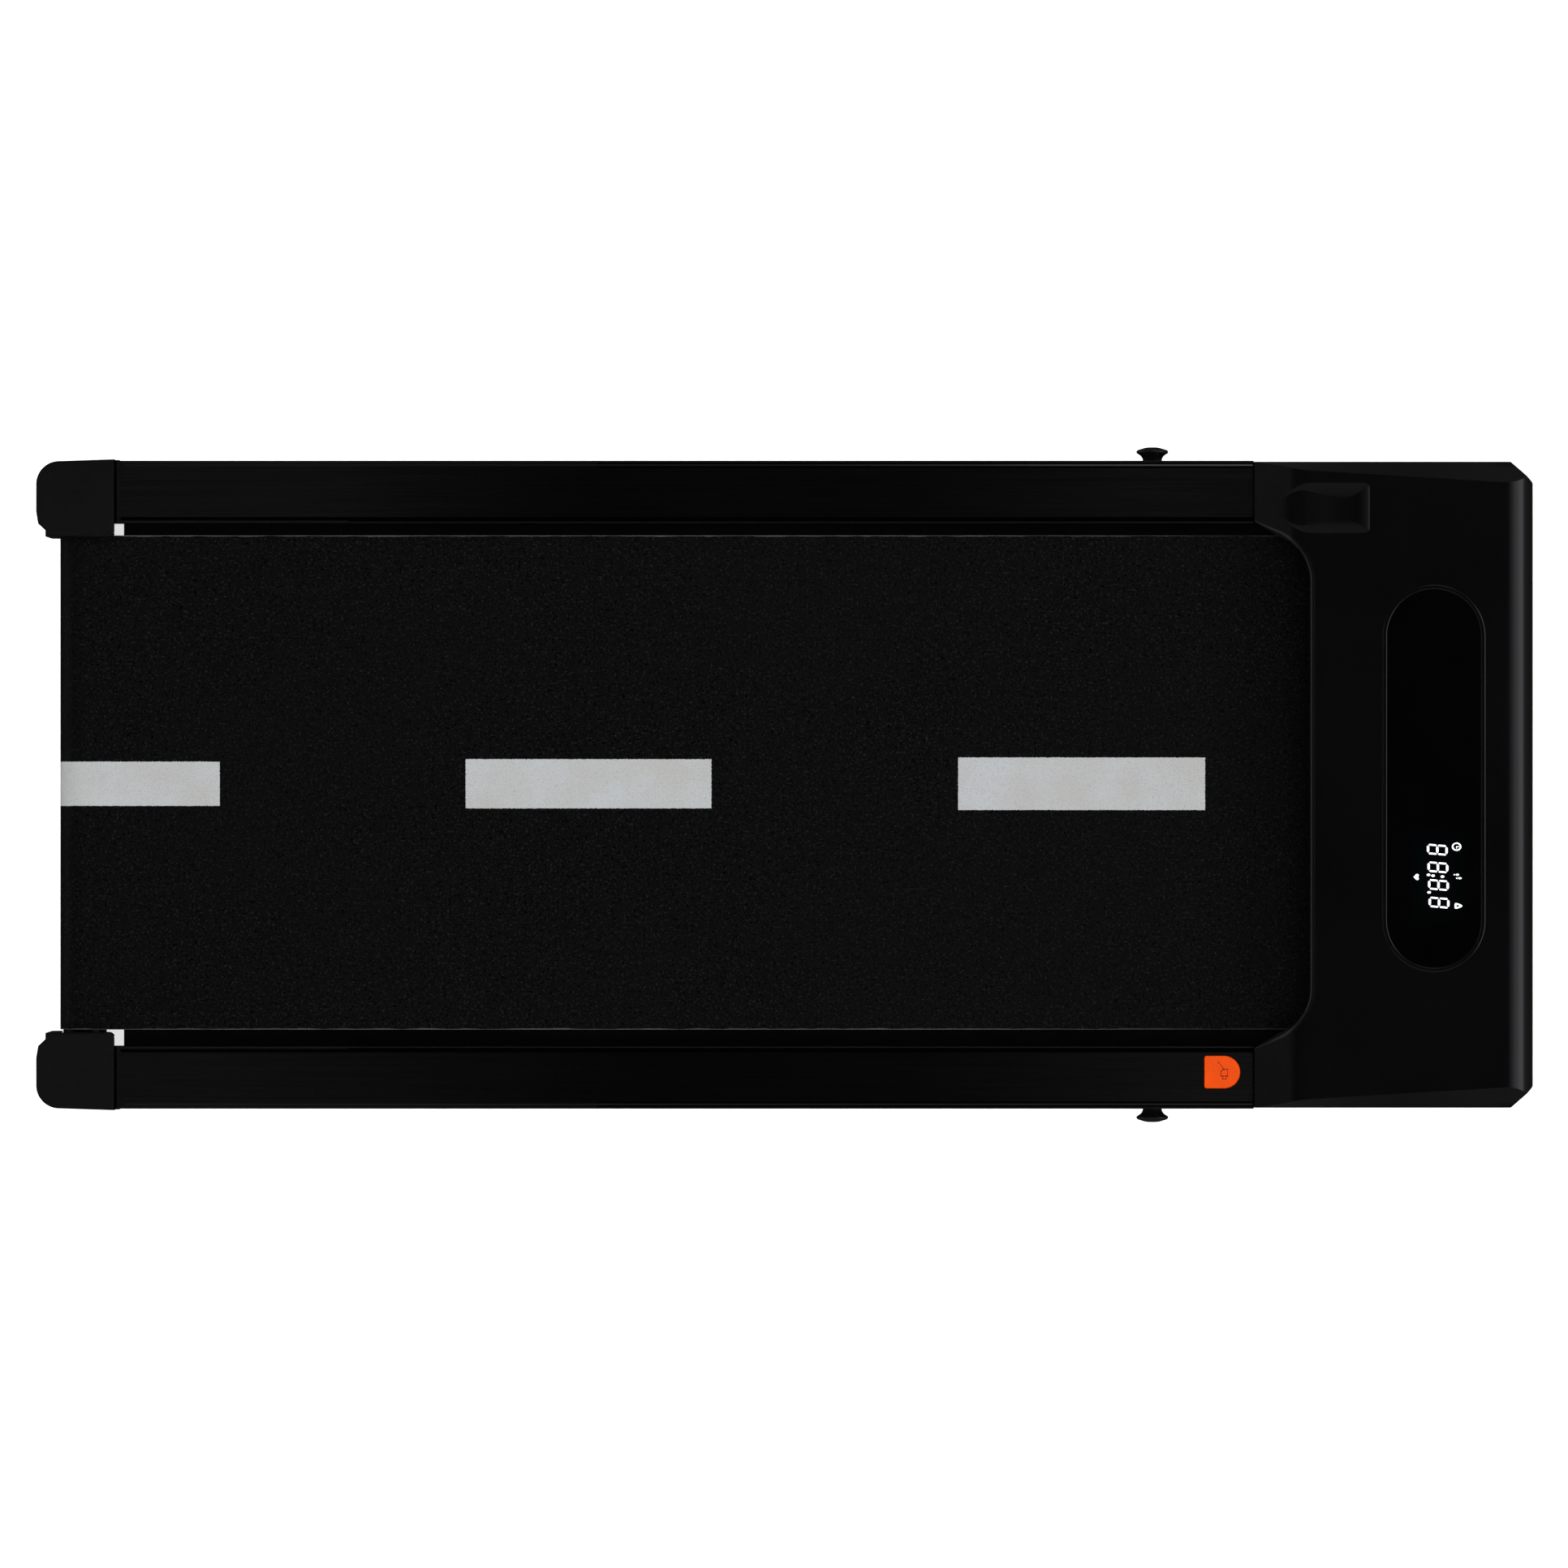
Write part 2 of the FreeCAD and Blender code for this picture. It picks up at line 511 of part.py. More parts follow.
def tangent_loop(ends, extra):
    """Two arcs joined by the straight runs that touch both, in the XZ plane."""
    (x1, z1, r1), (x2, z2, r2) = ends
    along = Vector(x2 - x1, 0, z2 - z1)
    distance = along.Length
    along.normalize()
    across = Vector(-along.z, 0, along.x)
    tilt = math.acos((r1 - r2) / distance)
    touch = [along * math.cos(tilt) + across * (sign * math.sin(tilt)) for sign in (1, -1)]
    first, last = Vector(x1, 0, z1), Vector(x2, 0, z2)
    r1, r2 = r1 + extra, r2 + extra
    upper = Part.LineSegment(first + touch[0] * r1, last + touch[0] * r2)
    nose = Part.Arc(last + touch[0] * r2, last + along * r2, last + touch[1] * r2)
    lower = Part.LineSegment(last + touch[1] * r2, first + touch[1] * r1)
    tail = Part.Arc(first + touch[1] * r1, first - along * r1, first + touch[0] * r1)
    return Part.Wire([curve.toShape() for curve in (upper, nose, lower, tail)])


def belts():
    gap = size("roller_radius + belt_gap")
    walking = loop("walking_band",
                   ((size("rear_roller_x"), size("roller_z"), gap),
                    (size("front_roller_x"), size("roller_z"), gap)),
                   size("belt_thick"), size("belt_left - belt_right"), size("belt_right"))
    keep(walking, "walking_belt")
    drive = loop("drive_band",
                 ((size("front_roller_x"), size("roller_z"), size("pulley_radius + belt_gap")),
                  (size("motor_x"), size("motor_z"), size("pulley_radius / pulley_ratio + belt_gap"))),
                 size("drive_belt_thick"), size("pulley_outer - pulley_inner - 4"),
                 size("2 - pulley_outer"))
    keep(drive, "drive_belt")


def grooved_pulley(name, radius, bore, x, z):
    """A flanged pulley with five V grooves for a ribbed belt."""
    width = size("pulley_outer - pulley_inner")
    profile = [(bore, 0), (f"{radius} + 1.4", 0), (f"{radius} + 1.4", 1.2)]
    for groove in range(5):
        start = 1.6 + groove * (width - 3.2) / 5
        profile += [(radius, f"{start}"), (f"{radius} - 1.2", f"{start + 1.08}")]
    profile += [(radius, f"{width - 1.6}"), (f"{radius} + 1.4", f"{width - 1.2}"),
                (f"{radius} + 1.4", f"{width}"), (bore, f"{width}")]
    return turned(name, profile, "y", (x, "-pulley_outer", z))


def drive():
    wheel = grooved_pulley("front_pulley_wheel", "pulley_radius", "roller_radius - roller_wall",
                           "front_roller_x", "roller_z")
    web = ring("front_pulley_web", "y", ("front_roller_x", "-pulley_inner - 2.5", "roller_z"),
               "roller_radius - 1", 8, 2.5)
    plug = ring("front_pulley_plug", "y", ("front_roller_x", "-pulley_inner - 0.5", "roller_z"),
                "roller_radius - roller_wall - 0.02", 8, 12)
    keep(join("front_pulley", wheel, web, plug), "front_pulley")
    can = turned("motor_case", ((0, 0), (26, 0, 2), (30, 5, 2), ("motor_radius", 8, 3),
                                ("motor_radius", "motor_left - motor_right - 8", 3),
                                (30, "motor_left - motor_right - 5", 2),
                                (26, "motor_left - motor_right", 2), (0, "motor_left - motor_right")),
                 "y", ("motor_x", "motor_right", "motor_z"))
    bore = rod("motor_bore", "y", ("motor_x", "motor_right - 1", "motor_z"), "shaft_radius + 0.05", 60)
    keep(cut("motor_can", can, bore), "motor_can")
    shaft = rod("motor_shaft", "y", ("motor_x", "1 - tube_inner_y", "motor_z"), "shaft_radius",
                "motor_right + tube_inner_y + 50")
    keep(shaft, "motor_shaft")
    keep(grooved_pulley("motor_pulley", "pulley_radius / pulley_ratio", "shaft_radius", "motor_x",
                        "motor_z"), "motor_pulley")
    flywheel()
    saddles()


def flywheel():
    disc = turned("flywheel_disc", (("shaft_radius", 0), ("flywheel_radius", 0, 1),
                                    ("flywheel_radius", 9, 1), ("flywheel_radius - 6", 9),
                                    ("flywheel_radius - 8", 4), (11, 4), (9, 10), ("shaft_radius", 10)),
                  "y", ("motor_x", "motor_right - 14.5", "motor_z"))
    holes = [rod(f"flywheel_hole_{turn}", "y",
                 (f"motor_x + {16.5 * math.cos(math.radians(turn)):.4f}", "motor_right - 16",
                  f"motor_z + {16.5 * math.sin(math.radians(turn)):.4f}"), 4, 14)
             for turn in range(0, 360, 60)]
    keep(cut("flywheel", disc, *holes), "flywheel")


def saddles():
    blocks = [box(f"saddle_{y}", ("motor_x - 23", "motor_x + 21"), (f"{y} - 8", f"{y} + 8"), (25, 40))
              for y in (-150, -60)]
    hollow = rod("saddle_hollow", "y", ("motor_x", "motor_right", "motor_z"), "motor_radius + 0.2", 200)
    keep(cut("motor_saddles", group("saddle_blocks", blocks), hollow), "motor_saddles")


def hood_block(name, inset):
    """The hood's outer form, or the same form drawn inwards by an inset."""
    lean = f"{inset} * sqrt(1 + mouth_slope ^ 2)"
    half = [("front_x - corner_cut - 0.414 * {0}", "side_y - {0}"),
            ("front_x - {0}", "side_y - corner_cut - 0.414 * {0}")]
    half = [(x.format(inset), y.format(inset)) for x, y in half]
    rear = f"rail_front_x + crown_gap + {inset}"
    root = f"mouth_root + {lean} - mouth_slope * ({inset})"
    corner = f"mouth_root + {lean} - mouth_slope * (mouth_x + {inset} - rail_front_x - crown_gap)"
    mouth = (f"mouth_x + {inset}", corner, f"mouth_round + {inset}")
    right = [(x, f"-({y})", *rest) for x, y, *rest in ((rear, f"side_y - {inset}"), *half)]
    corners = [(rear, f"side_y - {inset}"), *half, *reversed(right), (rear, f"-({root})"),
               (mouth[0], f"-({mouth[1]})", mouth[2]), mouth, (rear, root)]
    plan = padded(name + "_plan", "XY_Plane", corners, "hood_top - hood_bottom + 20",
                  "hood_bottom - 10" if inset else "hood_bottom")
    profile = ((rear, "hood_bottom - 10" if inset else "hood_bottom"),
               (rear, f"ramp_foot - 0.519 * {inset}"),
               (f"ramp_top_x + 0.317 * {inset}", f"hood_top - {inset}", 30),
               (f"front_x - {inset}", f"hood_top - {inset}", f"front_round - {inset}"),
               (f"front_x - {inset}", "hood_bottom - 10" if inset else "hood_bottom"))
    side = padded(name + "_side", "XZ_Plane", profile, "2 * side_y", 0, True)
    return cut(name, common(name + "_block", plan, side), *bevels(name, inset))


def bevels(name, inset):
    """Tools for the side bevels, which start at the ramp's foot and widen towards the front."""
    low = size("ramp_foot")
    high = size("hood_top + bezel_rise / 2")
    reach = (high - low) / (size("hood_top") - low)
    tools = []
    for side, sign in SIDES.items():
        sections = []
        for end in ("rear", "front"):
            x = {"rear": size("rail_front_x"), "front": size("front_x")}[end]
            edge = size("side_y") - inset
            crease = edge - size(f"bevel_{end}_inset") * reach
            outside = edge + CUT_MARGIN
            section = doc.addObject("Part::Polygon", f"{name}_{side}_{end}")
            section.Nodes = [Vector(x, sign * y, z) for y, z in
                             ((edge, low), (outside, low), (outside, high), (crease, high))]
            section.Close = True
            sections.append(section)
        tool = doc.addObject("Part::Loft", f"{name}_bevel_{side}")
        tool.Sections = sections
        tool.Solid = True
        tool.Ruled = True
        tools.append(tool)
    return tools


def finger_scoop():
    """The scoop's form: a bowl swept across, between two drafted side walls."""
    over = "hood_top + 7"
    profile = padded("scoop_profile", "XZ_Plane", (
        ("scoop_brow_x - scoop_approach", "scoop_brow_z - scoop_approach_drop"),
        ("scoop_brow_x", "scoop_brow_z", "scoop_brow"),
        ("scoop_bowl_x", "scoop_bowl_z", "scoop_bowl"),
        (f"scoop_bowl_x + ({over} - scoop_bowl_z) / scoop_rim_slope", over),
        ("scoop_brow_x - scoop_approach", over)), "2 * side_y", 0, True)
    wide = f"(scoop_half + scoop_draft * ({over} - hood_top))"
    narrow = "(scoop_half - scoop_draft * (scoop_depth + 4))"
    walls = padded("scoop_walls", "YZ_Plane", (
        (f"scoop_y - {wide}", over), (f"scoop_y - {narrow}", "hood_top - scoop_depth - 4"),
        (f"scoop_y + {narrow}", "hood_top - scoop_depth - 4"), (f"scoop_y + {wide}", over)),
        "scoop_reach + 20", "scoop_rim_x - scoop_reach")
    plan = padded("scoop_plan", "XY_Plane", (
        ("scoop_rim_x - scoop_reach", "scoop_y - scoop_half - 0.1"),
        ("scoop_rim_x", "scoop_y - scoop_half - 0.1", "scoop_corner"),
        ("scoop_rim_x", "scoop_y + scoop_half + 0.1", "scoop_corner"),
        ("scoop_rim_x - scoop_reach", "scoop_y + scoop_half + 0.1")), 60, "hood_top - 40")
    return common("scoop_cut", common("scoop_sweep", profile, walls), plan)


def hood():
    outer = hood_block("hood_outer", 0)
    inner = hood_block("hood_inner", SIZES["hood_wall"])
    pad = box("scoop_backing", ("scoop_brow_x - 8", "scoop_rim_x + 4"),
              ("scoop_y - scoop_half - 4", "scoop_y + scoop_half + 4"),
              ("hood_top - scoop_depth - 3", "hood_top"))
    tunnel = box("belt_tunnel", ("rail_front_x - 1", "pan_rear_x"), ("-side_y + 3", "side_y - 3"),
                 ("hood_bottom - 5", "mouth_bottom"))
    opening = stadium("display_opening", "display_x", "display_y", "bezel_width - 2",
                      "bezel_length - 2", ("hood_top - 8", "hood_top + 5"))
    panel = box("panel_opening", ("front_x - 6", "front_x + 1"),
                ("panel_right + panel_margin", "panel_left - panel_margin"),
                ("panel_z - 19", "panel_z + 19"))
    shell = cut("hood_shell", outer, cut("hood_cavity", inner, pad), tunnel, finger_scoop(), opening,
                panel)
    bosses, drills = [], []
    for index, x in enumerate(PLACES["hood_screws"]):
        at = (x, "side_y - 7", "hood_bottom")
        bosses += mirrored_pair(f"boss_{index}", rod(f"boss_{index}", "z", at, 5, 20))
        drills += mirrored_pair(f"boss_drill_{index}", rod(f"boss_drill_{index}", "z", at, 2.05, 18))
    keep(cut("hood_with_bosses", join("hood_join", shell, *bosses), *drills), "hood")
    screws = []
    for index, x in enumerate(PLACES["hood_screws"]):
        screw = turned(f"hood_screw_{index}", ((0, 0), (3.5, 0, 0.8), (3.5, 2.4), (2, 2.4), (2, 18), (0, 18)),
                       "z", (x, "side_y - 7", "tube_bottom - pan_thick - 2.5"))
        screws += mirrored_pair(f"hood_screw_{index}", screw)
    keep(group("hood_screws", screws), "hood_screws")


def display():
    x, y = "display_x", "display_y"
    flange = stadium("bezel_flange", x, y, "bezel_width", "bezel_length",
                     ("hood_top", "hood_top + bezel_rise"))
    skirt = stadium("bezel_skirt", x, y, "bezel_width - 2.4", "bezel_length - 2.4",
                    ("hood_top - 6", "hood_top + 0.5"))
    seat = stadium("bezel_seat", x, y, "lens_width + 0.3", "lens_length + 0.3",
                   ("hood_top - 2.4", "hood_top + 3"))
    window = stadium("bezel_window", x, y, "lens_width - 5", "lens_length - 5",
                     ("hood_top - 7", "hood_top + 3"))
    keep(cut("bezel", join("bezel_solid", flange, skirt), seat, window), "display_bezel")
    keep(stadium("lens", x, y, "lens_width", "lens_length", ("hood_top - 2.4", "hood_top + 0.5")),
         "display_lens")
    board = stadium("board_sheet", x, y, "lens_width - 10", "lens_length - 12",
                    ("hood_top - 9", "hood_top - 7.4"))
    digits = [box(f"digit_block_{i}", (f"{x} - 9", f"{x} + 14"),
                  (f"{y} - 62 - {14 * i}", f"{y} - 50 - {14 * i}"), ("hood_top - 7.4", "hood_top - 3.4"))
              for i in range(4)]
    posts = [rod(f"board_post_{i}", "z", (f"{x} + {dx}", f"{y} + {dy}", "hood_top - 7.4"), 2.5, 1.4)
             for i, (dx, dy) in enumerate(((31, 60), (31, -60), (-31, 60), (-31, -60)))]
    keep(join("display_board", board, *digits, *posts), "display_board")


def base_pan():
    top = "tube_bottom"
    half = (("pan_rear_x", "side_y - 0.5"), ("front_x - corner_cut - 0.5", "side_y - 0.5"),
            ("front_x - 0.5", "side_y - corner_cut - 0.5"))
    corners = half + tuple((x, f"-({y})") for x, y in reversed(half))
    sheet_metal = padded("pan_sheet", "XY_Plane", corners, "pan_thick", f"{top} - pan_thick")
    slots, holes = [], []
    for side, sign in SIDES.items():
        low, high = sorted((sign * SIZES["wheel_inner"], sign * SIZES["wheel_outer"]))
        along = ("wheel_x - wheel_radius - 2", "wheel_x + wheel_radius + 2")
        slots.append(box(f"pan_wheel_slot_{side}", along, (low - 4.5, high + 4.5),
                         (f"{top} - 4", f"{top} + 2")))
        for index, x in enumerate(PLACES["hood_screws"]):
            holes.append(rod(f"pan_hole_{side}_{index}", "z", (x, f"{sign} * (side_y - 7)", f"{top} - 4"),
                             2.3, 8))
    vents = [box(f"pan_vent_{i}", ("motor_x - 22", "motor_x + 22"), (30 + 12 * i, 36 + 12 * i),
                 (f"{top} - 4", f"{top} + 2")) for i in range(8)]
    keep(cut("base_pan", sheet_metal, *slots, *holes, *vents), "base_pan")


def wheels():
    width = "wheel_outer - wheel_inner"
    tyre = turned("wheel_tyre", ((4.6, 0.5), (8, 0), (8, 2), (14, 2), (16, 0), ("wheel_radius", 0, 2.5),
                                 ("wheel_radius", width, 2.5), (16, width), (14, f"{width} - 2"),
                                 (8, f"{width} - 2"), (8, width), (4.6, f"{width} - 0.5")),
                  "y", ("wheel_x", "wheel_inner", "wheel_z"))
    both_sides("transport_wheel", tyre)
    neck = "tube_inner_y - wheel_inner + 3.6"
    bolt = turned("wheel_bolt", ((0, 0), (8, 0, 1), (8, 3), (4.5, 3), (4.5, neck), (4, neck),
                                 (4, f"{neck} + 3.4"), (0, f"{neck} + 3.4")), "y",
                  ("wheel_x", "wheel_inner - 3.7", "wheel_z"))
    keep(group("wheel_bolts", mirrored_pair("wheel_bolt", bolt)), "wheel_bolts")


def feet():
    pads, screws = [], []
    for index, x in enumerate(PLACES["feet"]):
        pad = turned(f"foot_{index}", ((6, 0), ("foot_radius - 2", 0, 2), ("foot_radius", "tube_bottom"),
                                       (3.2, "tube_bottom"), (3.2, 9), (6, 9)), "z", (x, "foot_y", 0))
        screw = turned(f"foot_screw_{index}", ((0, 4), (5.4, 4, 1), (5.4, 9), (3, 9), (3, 28), (0, 28)),
                       "z", (x, "foot_y", 0))
        pads += mirrored_pair(f"foot_{index}", pad)
        screws += mirrored_pair(f"foot_screw_{index}", screw)
    keep(group("feet", pads), "rubber_feet")
    keep(group("foot_screws", screws), "foot_screws")


def side_knobs():
    """Flared hand knobs on short studs that turn in bushes in the frame tubes."""
    reach = "knob_reach - 0.5"
    head = turned("knob_head", ((0, 0), ("knob_neck", 0), ("knob_neck + 0.8", f"0.35 * ({reach})", 6),
                                ("knob_radius", f"0.62 * ({reach})", 0.8),
                                ("knob_radius - 0.6", f"0.8 * ({reach})", 1.6),
                                (5, reach, 12), (0, reach)), "y", ("knob_x", "rail_outer + 0.5", "knob_z"))
    stud = rod("knob_stud", "y", ("knob_x", "tube_outer_y - 4", "knob_z"), "stud_radius",
               "rail_outer - tube_outer_y + 6")
    both_sides("side_knob", join("side_knob", head, stud))
    bush = turned("knob_bush", (("bush_bore", 0), (6, 0), (6, 5), ("bush_radius", 5),
                                ("bush_radius", "rail_outer - tube_outer_y + 5.3", 0.8),
                                ("bush_bore", "rail_outer - tube_outer_y + 5.3")), "y",
                  ("knob_x", "tube_outer_y - 5", "knob_z"))
    keep(group("knob_bushes", mirrored_pair("knob_bush", bush)), "knob_bushes")


def mains_panel():
    front = "panel_x + 2"
    across = ("panel_right", "panel_left")
    plate = box("panel_plate", ("panel_x", front), across, ("tube_bottom + 3", "panel_z + 23"))
    flange = box("panel_flange", ("panel_x - 14", front), across, ("tube_bottom", "tube_bottom + 3"))
    inlet_hole = box("panel_inlet_hole", ("panel_x - 1", f"{front} + 1"), ("inlet_y - 14", "inlet_y + 14"),
                     ("panel_z - 10.5", "panel_z + 10.5"))
    switch_hole = box("panel_switch_hole", ("panel_x - 1", f"{front} + 1"),
                      ("switch_y - 9.6", "switch_y + 9.6"), ("panel_z - 6.6", "panel_z + 6.6"))
    breaker_hole = rod("panel_breaker_hole", "x", ("panel_x - 1", "breaker_y", "panel_z"), 6.1, 4)
    keep(cut("power_panel", join("panel_solid", plate, flange), inlet_hole, switch_hole, breaker_hole),
         "power_panel")
    mains_inlet(front)
    mains_switch(front)
    breaker(front)


def mains_inlet(front):
    """A three-pin appliance inlet: flange, body, socket and flat pins."""
    flange = box("inlet_flange", (front, f"{front} + 2.5"), ("inlet_y - 24", "inlet_y + 24"),
                 ("panel_z - 12", "panel_z + 12"))
    body = box("inlet_body", ("panel_x - 22", front), ("inlet_y - 13.8", "inlet_y + 13.8"),
               ("panel_z - 10.3", "panel_z + 10.3"))
    mouth = box("inlet_mouth", ("panel_x - 14", f"{front} + 3"), ("inlet_y - 12", "inlet_y + 12"),
                ("panel_z - 8.25", "panel_z + 8.25"))
    pins = [box(f"inlet_pin_{i}", ("panel_x - 16", "panel_x + 1"),
                (f"inlet_y + {y} - 1", f"inlet_y + {y} + 1"), (f"panel_z + {z} - 2", f"panel_z + {z} + 2"))
            for i, (y, z) in enumerate(((-7, -1), (0, 3), (7, -1)))]
    shell = cut("inlet_shell", join("inlet_solid", flange, body), mouth)
    keep(join("mains_inlet", shell, *pins), "mains_inlet")


def mains_switch(front):
    flange = box("switch_flange", (front, f"{front} + 2"), ("switch_y - 11", "switch_y + 11"),
                 ("panel_z - 8", "panel_z + 8"))
    body = box("switch_body", ("panel_x - 16", front), ("switch_y - 9.5", "switch_y + 9.5"),
               ("panel_z - 6.5", "panel_z + 6.5"))
    well = box("switch_well", ("panel_x - 6", f"{front} + 3"), ("switch_y - 8", "switch_y + 8"),
               ("panel_z - 5", "panel_z + 5"))
    keep(cut("switch_housing", join("switch_solid", flange, body), well), "switch_housing")
    rocker = padded("rocker", "XY_Plane", ((-2, -6.6, 1), (1.5, -6.9, 1), (0.6, 0, 20), (1.5, 6.9, 1),
                                           (-2, 6.6, 1)), 9.4, -4.7)
    rocker.Placement = Placement(Vector(size(front), size("switch_y"), size("panel_z")),
                                 Rotation(Vector(0, 0, 1), -8))
    for letter, text in zip("xyz", (front, "switch_y", "panel_z")):
        rocker.setExpression(f"Placement.Base.{letter}", formula(text))
    keep(rocker, "power_rocker")


def breaker(front):
    body = turned("breaker_body", ((0, 0), (5.8, 0), (5.8, 22), (9, 22, 0.8), (9, 25.5, 0.8), (4, 25.5),
                                   (4, 14), (0, 14)), "x", (f"{front} - 22", "breaker_y", "panel_z"))
    keep(body, "breaker_body")
    button = turned("breaker_button", ((0, 0), (3.9, 0), (3.9, 8.8), (3.2, 9.6), (0, 10)), "x",
                    (f"{front} - 5", "breaker_y", "panel_z"))
    keep(button, "breaker_button")


def control_box():
    """A finned heat sink with the motor's control board on legs above it."""
    along = ("board_rear", "board_front")
    fins = [box(f"fin_{i}", along, (f"sink_right + 3 + fin_pitch * {i}", f"sink_right + 5 + fin_pitch * {i}"),
                ("fin_bottom", "sink_bottom")) for i in range(9)]
    plate = box("sink_plate", along, ("sink_right", "sink_left"), ("sink_bottom", "sink_top"))
    keep(join("heat_sink", plate, *fins), "heat_sink")
    board = box("board_base", along, ("board_right", "board_left"), ("board_bottom", "board_top"))
    blocks = {"relay": (8, 26, 106, 134, 16.4), "choke": (32, 54, 104, 132, 22.4),
              "bridge": (8, 52, 78, 84, 18.4), "terminal": (6, 42, 4, 16, 10.4)}
    parts = [box(name, (f"board_rear + {x0}", f"board_rear + {x1}"),
                 (f"board_right + {y0}", f"board_right + {y1}"), ("board_top", f"board_top + {height}"))
             for name, (x0, x1, y0, y1, height) in blocks.items()]
    parts += [rod(f"capacitor_{i}", "z", (f"board_rear + {x}", "capacitor_y", "board_top"),
                  "capacitor_radius", 34) for i, x in enumerate((18, 44))]
    legs = [box(f"board_leg_{i}", (f"board_rear + {x}", f"board_rear + {x} + 5"),
                (f"board_right + {y}", f"board_right + {y} + 5"), ("sink_top", "board_bottom"))
            for i, (x, y) in enumerate(((2, 10), (2, 85), (52, 10), (52, 85)))]
    keep(join("control_board", board, *parts, *legs), "control_board")


def cable(name, route, radius):
    """A round cable whose route is straight runs joined by tangent arcs."""
    points = [Vector(*point) for point in route]
    edges, last = [], points[0]
    for index in range(1, len(points) - 1):
        back = points[index - 1] - points[index]
        ahead = points[index + 1] - points[index]
        turn = math.pi - back.getAngle(ahead)
        bend = 0.45 * min(back.Length, ahead.Length) / math.tan(turn / 2)
        trim = bend * math.tan(turn / 2)
        back.normalize()
        ahead.normalize()
        start, end = points[index] + back * trim, points[index] + ahead * trim
        centre = points[index] + (back + ahead).normalize() * (bend / math.cos(turn / 2))
        middle = centre + (points[index] - centre).normalize() * bend
        edges += [Part.LineSegment(last, start).toShape(), Part.Arc(start, middle, end).toShape()]
        print(f"{name}: bend radius {bend:.1f}")
        last = end
    edges.append(Part.LineSegment(last, points[-1]).toShape())
    path = Part.Wire(edges)
    section = Part.Wire([Part.Circle(points[0], points[1] - points[0], radius).toShape()])
    tube = doc.addObject("Part::Feature", name)
    tube.Shape = path.makePipeShell([section], True, True)
    wanted = math.pi * radius ** 2 * path.Length
    print(f"{name}: volume {tube.Shape.Volume:.0f} of {wanted:.0f}")
    return keep(tube, name)


def cables():
    """Leads inside the hood, held from end to end."""
    cable("motor_lead", ((512, -29.9, 82), (512, -16, 82), (509, 2, 78), (506, 18, 69), (505, 32, 61.5),
                         (505, 43, 59)), 2.5)
    cable("display_lead", ((532, 70, 108.9), (532, 70, 103), (538, 76, 96), (546, 90, 91), (547.5, 112, 87),
                           (547.5, 128, 78), (547, 135, 65), (547, 135.5, 52)), 1.5)


def check_and_write():
    doc.recompute()
    failed = [item.Label for item in doc.Objects if {"Invalid", "Error"} & set(item.State)]
    if failed:
        raise RuntimeError(f"failed objects: {failed}")
    os.makedirs("parts", exist_ok=True)
    for item in pieces:
        shape = item.Shape
        if shape.isNull() or not shape.isValid() or not shape.Solids:
            raise RuntimeError(f"{item.Label} has no sound shape")
    for item in pieces:
        item.Shape.exportStep(f"parts/{item.Label}.step")
    print(f"{len(pieces)} pieces written")


def main():
    fill_sheet()
    for build in (frame, rear_brackets, tension_bolts, axle_blocks, deck, side_rails, oil_port, rear_caps,
                  rollers, belts, drive, hood, display, base_pan, wheels, feet, side_knobs, mains_panel,
                  control_box, cables):
        build()
    check_and_write()


main()
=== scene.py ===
"""An under-desk walking pad in a plain white studio, seen from straight above."""
import bmesh
import bpy
import json
import math
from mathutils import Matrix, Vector


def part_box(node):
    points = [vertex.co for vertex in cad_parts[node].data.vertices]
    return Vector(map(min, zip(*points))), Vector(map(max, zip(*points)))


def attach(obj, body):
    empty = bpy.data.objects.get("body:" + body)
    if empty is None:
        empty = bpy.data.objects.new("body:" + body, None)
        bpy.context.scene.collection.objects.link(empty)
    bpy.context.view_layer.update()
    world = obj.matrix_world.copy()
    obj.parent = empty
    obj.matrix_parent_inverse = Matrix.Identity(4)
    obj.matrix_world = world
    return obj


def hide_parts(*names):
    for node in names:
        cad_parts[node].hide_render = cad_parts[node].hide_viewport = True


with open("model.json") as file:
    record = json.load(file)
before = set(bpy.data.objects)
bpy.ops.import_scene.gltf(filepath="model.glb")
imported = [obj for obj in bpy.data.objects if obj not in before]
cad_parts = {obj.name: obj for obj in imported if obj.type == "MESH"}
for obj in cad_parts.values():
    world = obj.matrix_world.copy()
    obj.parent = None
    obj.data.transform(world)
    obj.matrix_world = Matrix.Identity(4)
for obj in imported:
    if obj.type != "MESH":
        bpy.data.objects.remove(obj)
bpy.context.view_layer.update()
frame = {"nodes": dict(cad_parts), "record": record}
nodes = frame["nodes"]
MM = 0.001
IMAGE_WIDTH = 1.2573
CAMERA_HEIGHT = 8.0
CAMERA_OFFSET = (-0.0003, 0.0006)
FOCUS_HEIGHT = 0.092
SENSOR = 36.0


def srgb(red, green, blue):
    """Linear colour from 0-255 display values."""
    return tuple((value / 255 / 12.92) if value <= 10 else ((value / 255 + 0.055) / 1.055) ** 2.4
                 for value in (red, green, blue))


# ---------------------------------------------------------------- camera, light and floor

def add_camera():
    camera = bpy.data.objects.new("camera", bpy.data.cameras.new("camera"))
    bpy.context.scene.collection.objects.link(camera)
    camera.location = (*CAMERA_OFFSET, CAMERA_HEIGHT)
    camera.data.sensor_width = SENSOR
    camera.data.lens = SENSOR * (CAMERA_HEIGHT - FOCUS_HEIGHT) / IMAGE_WIDTH
    camera.data.clip_end = 100
    bpy.context.scene.camera = camera


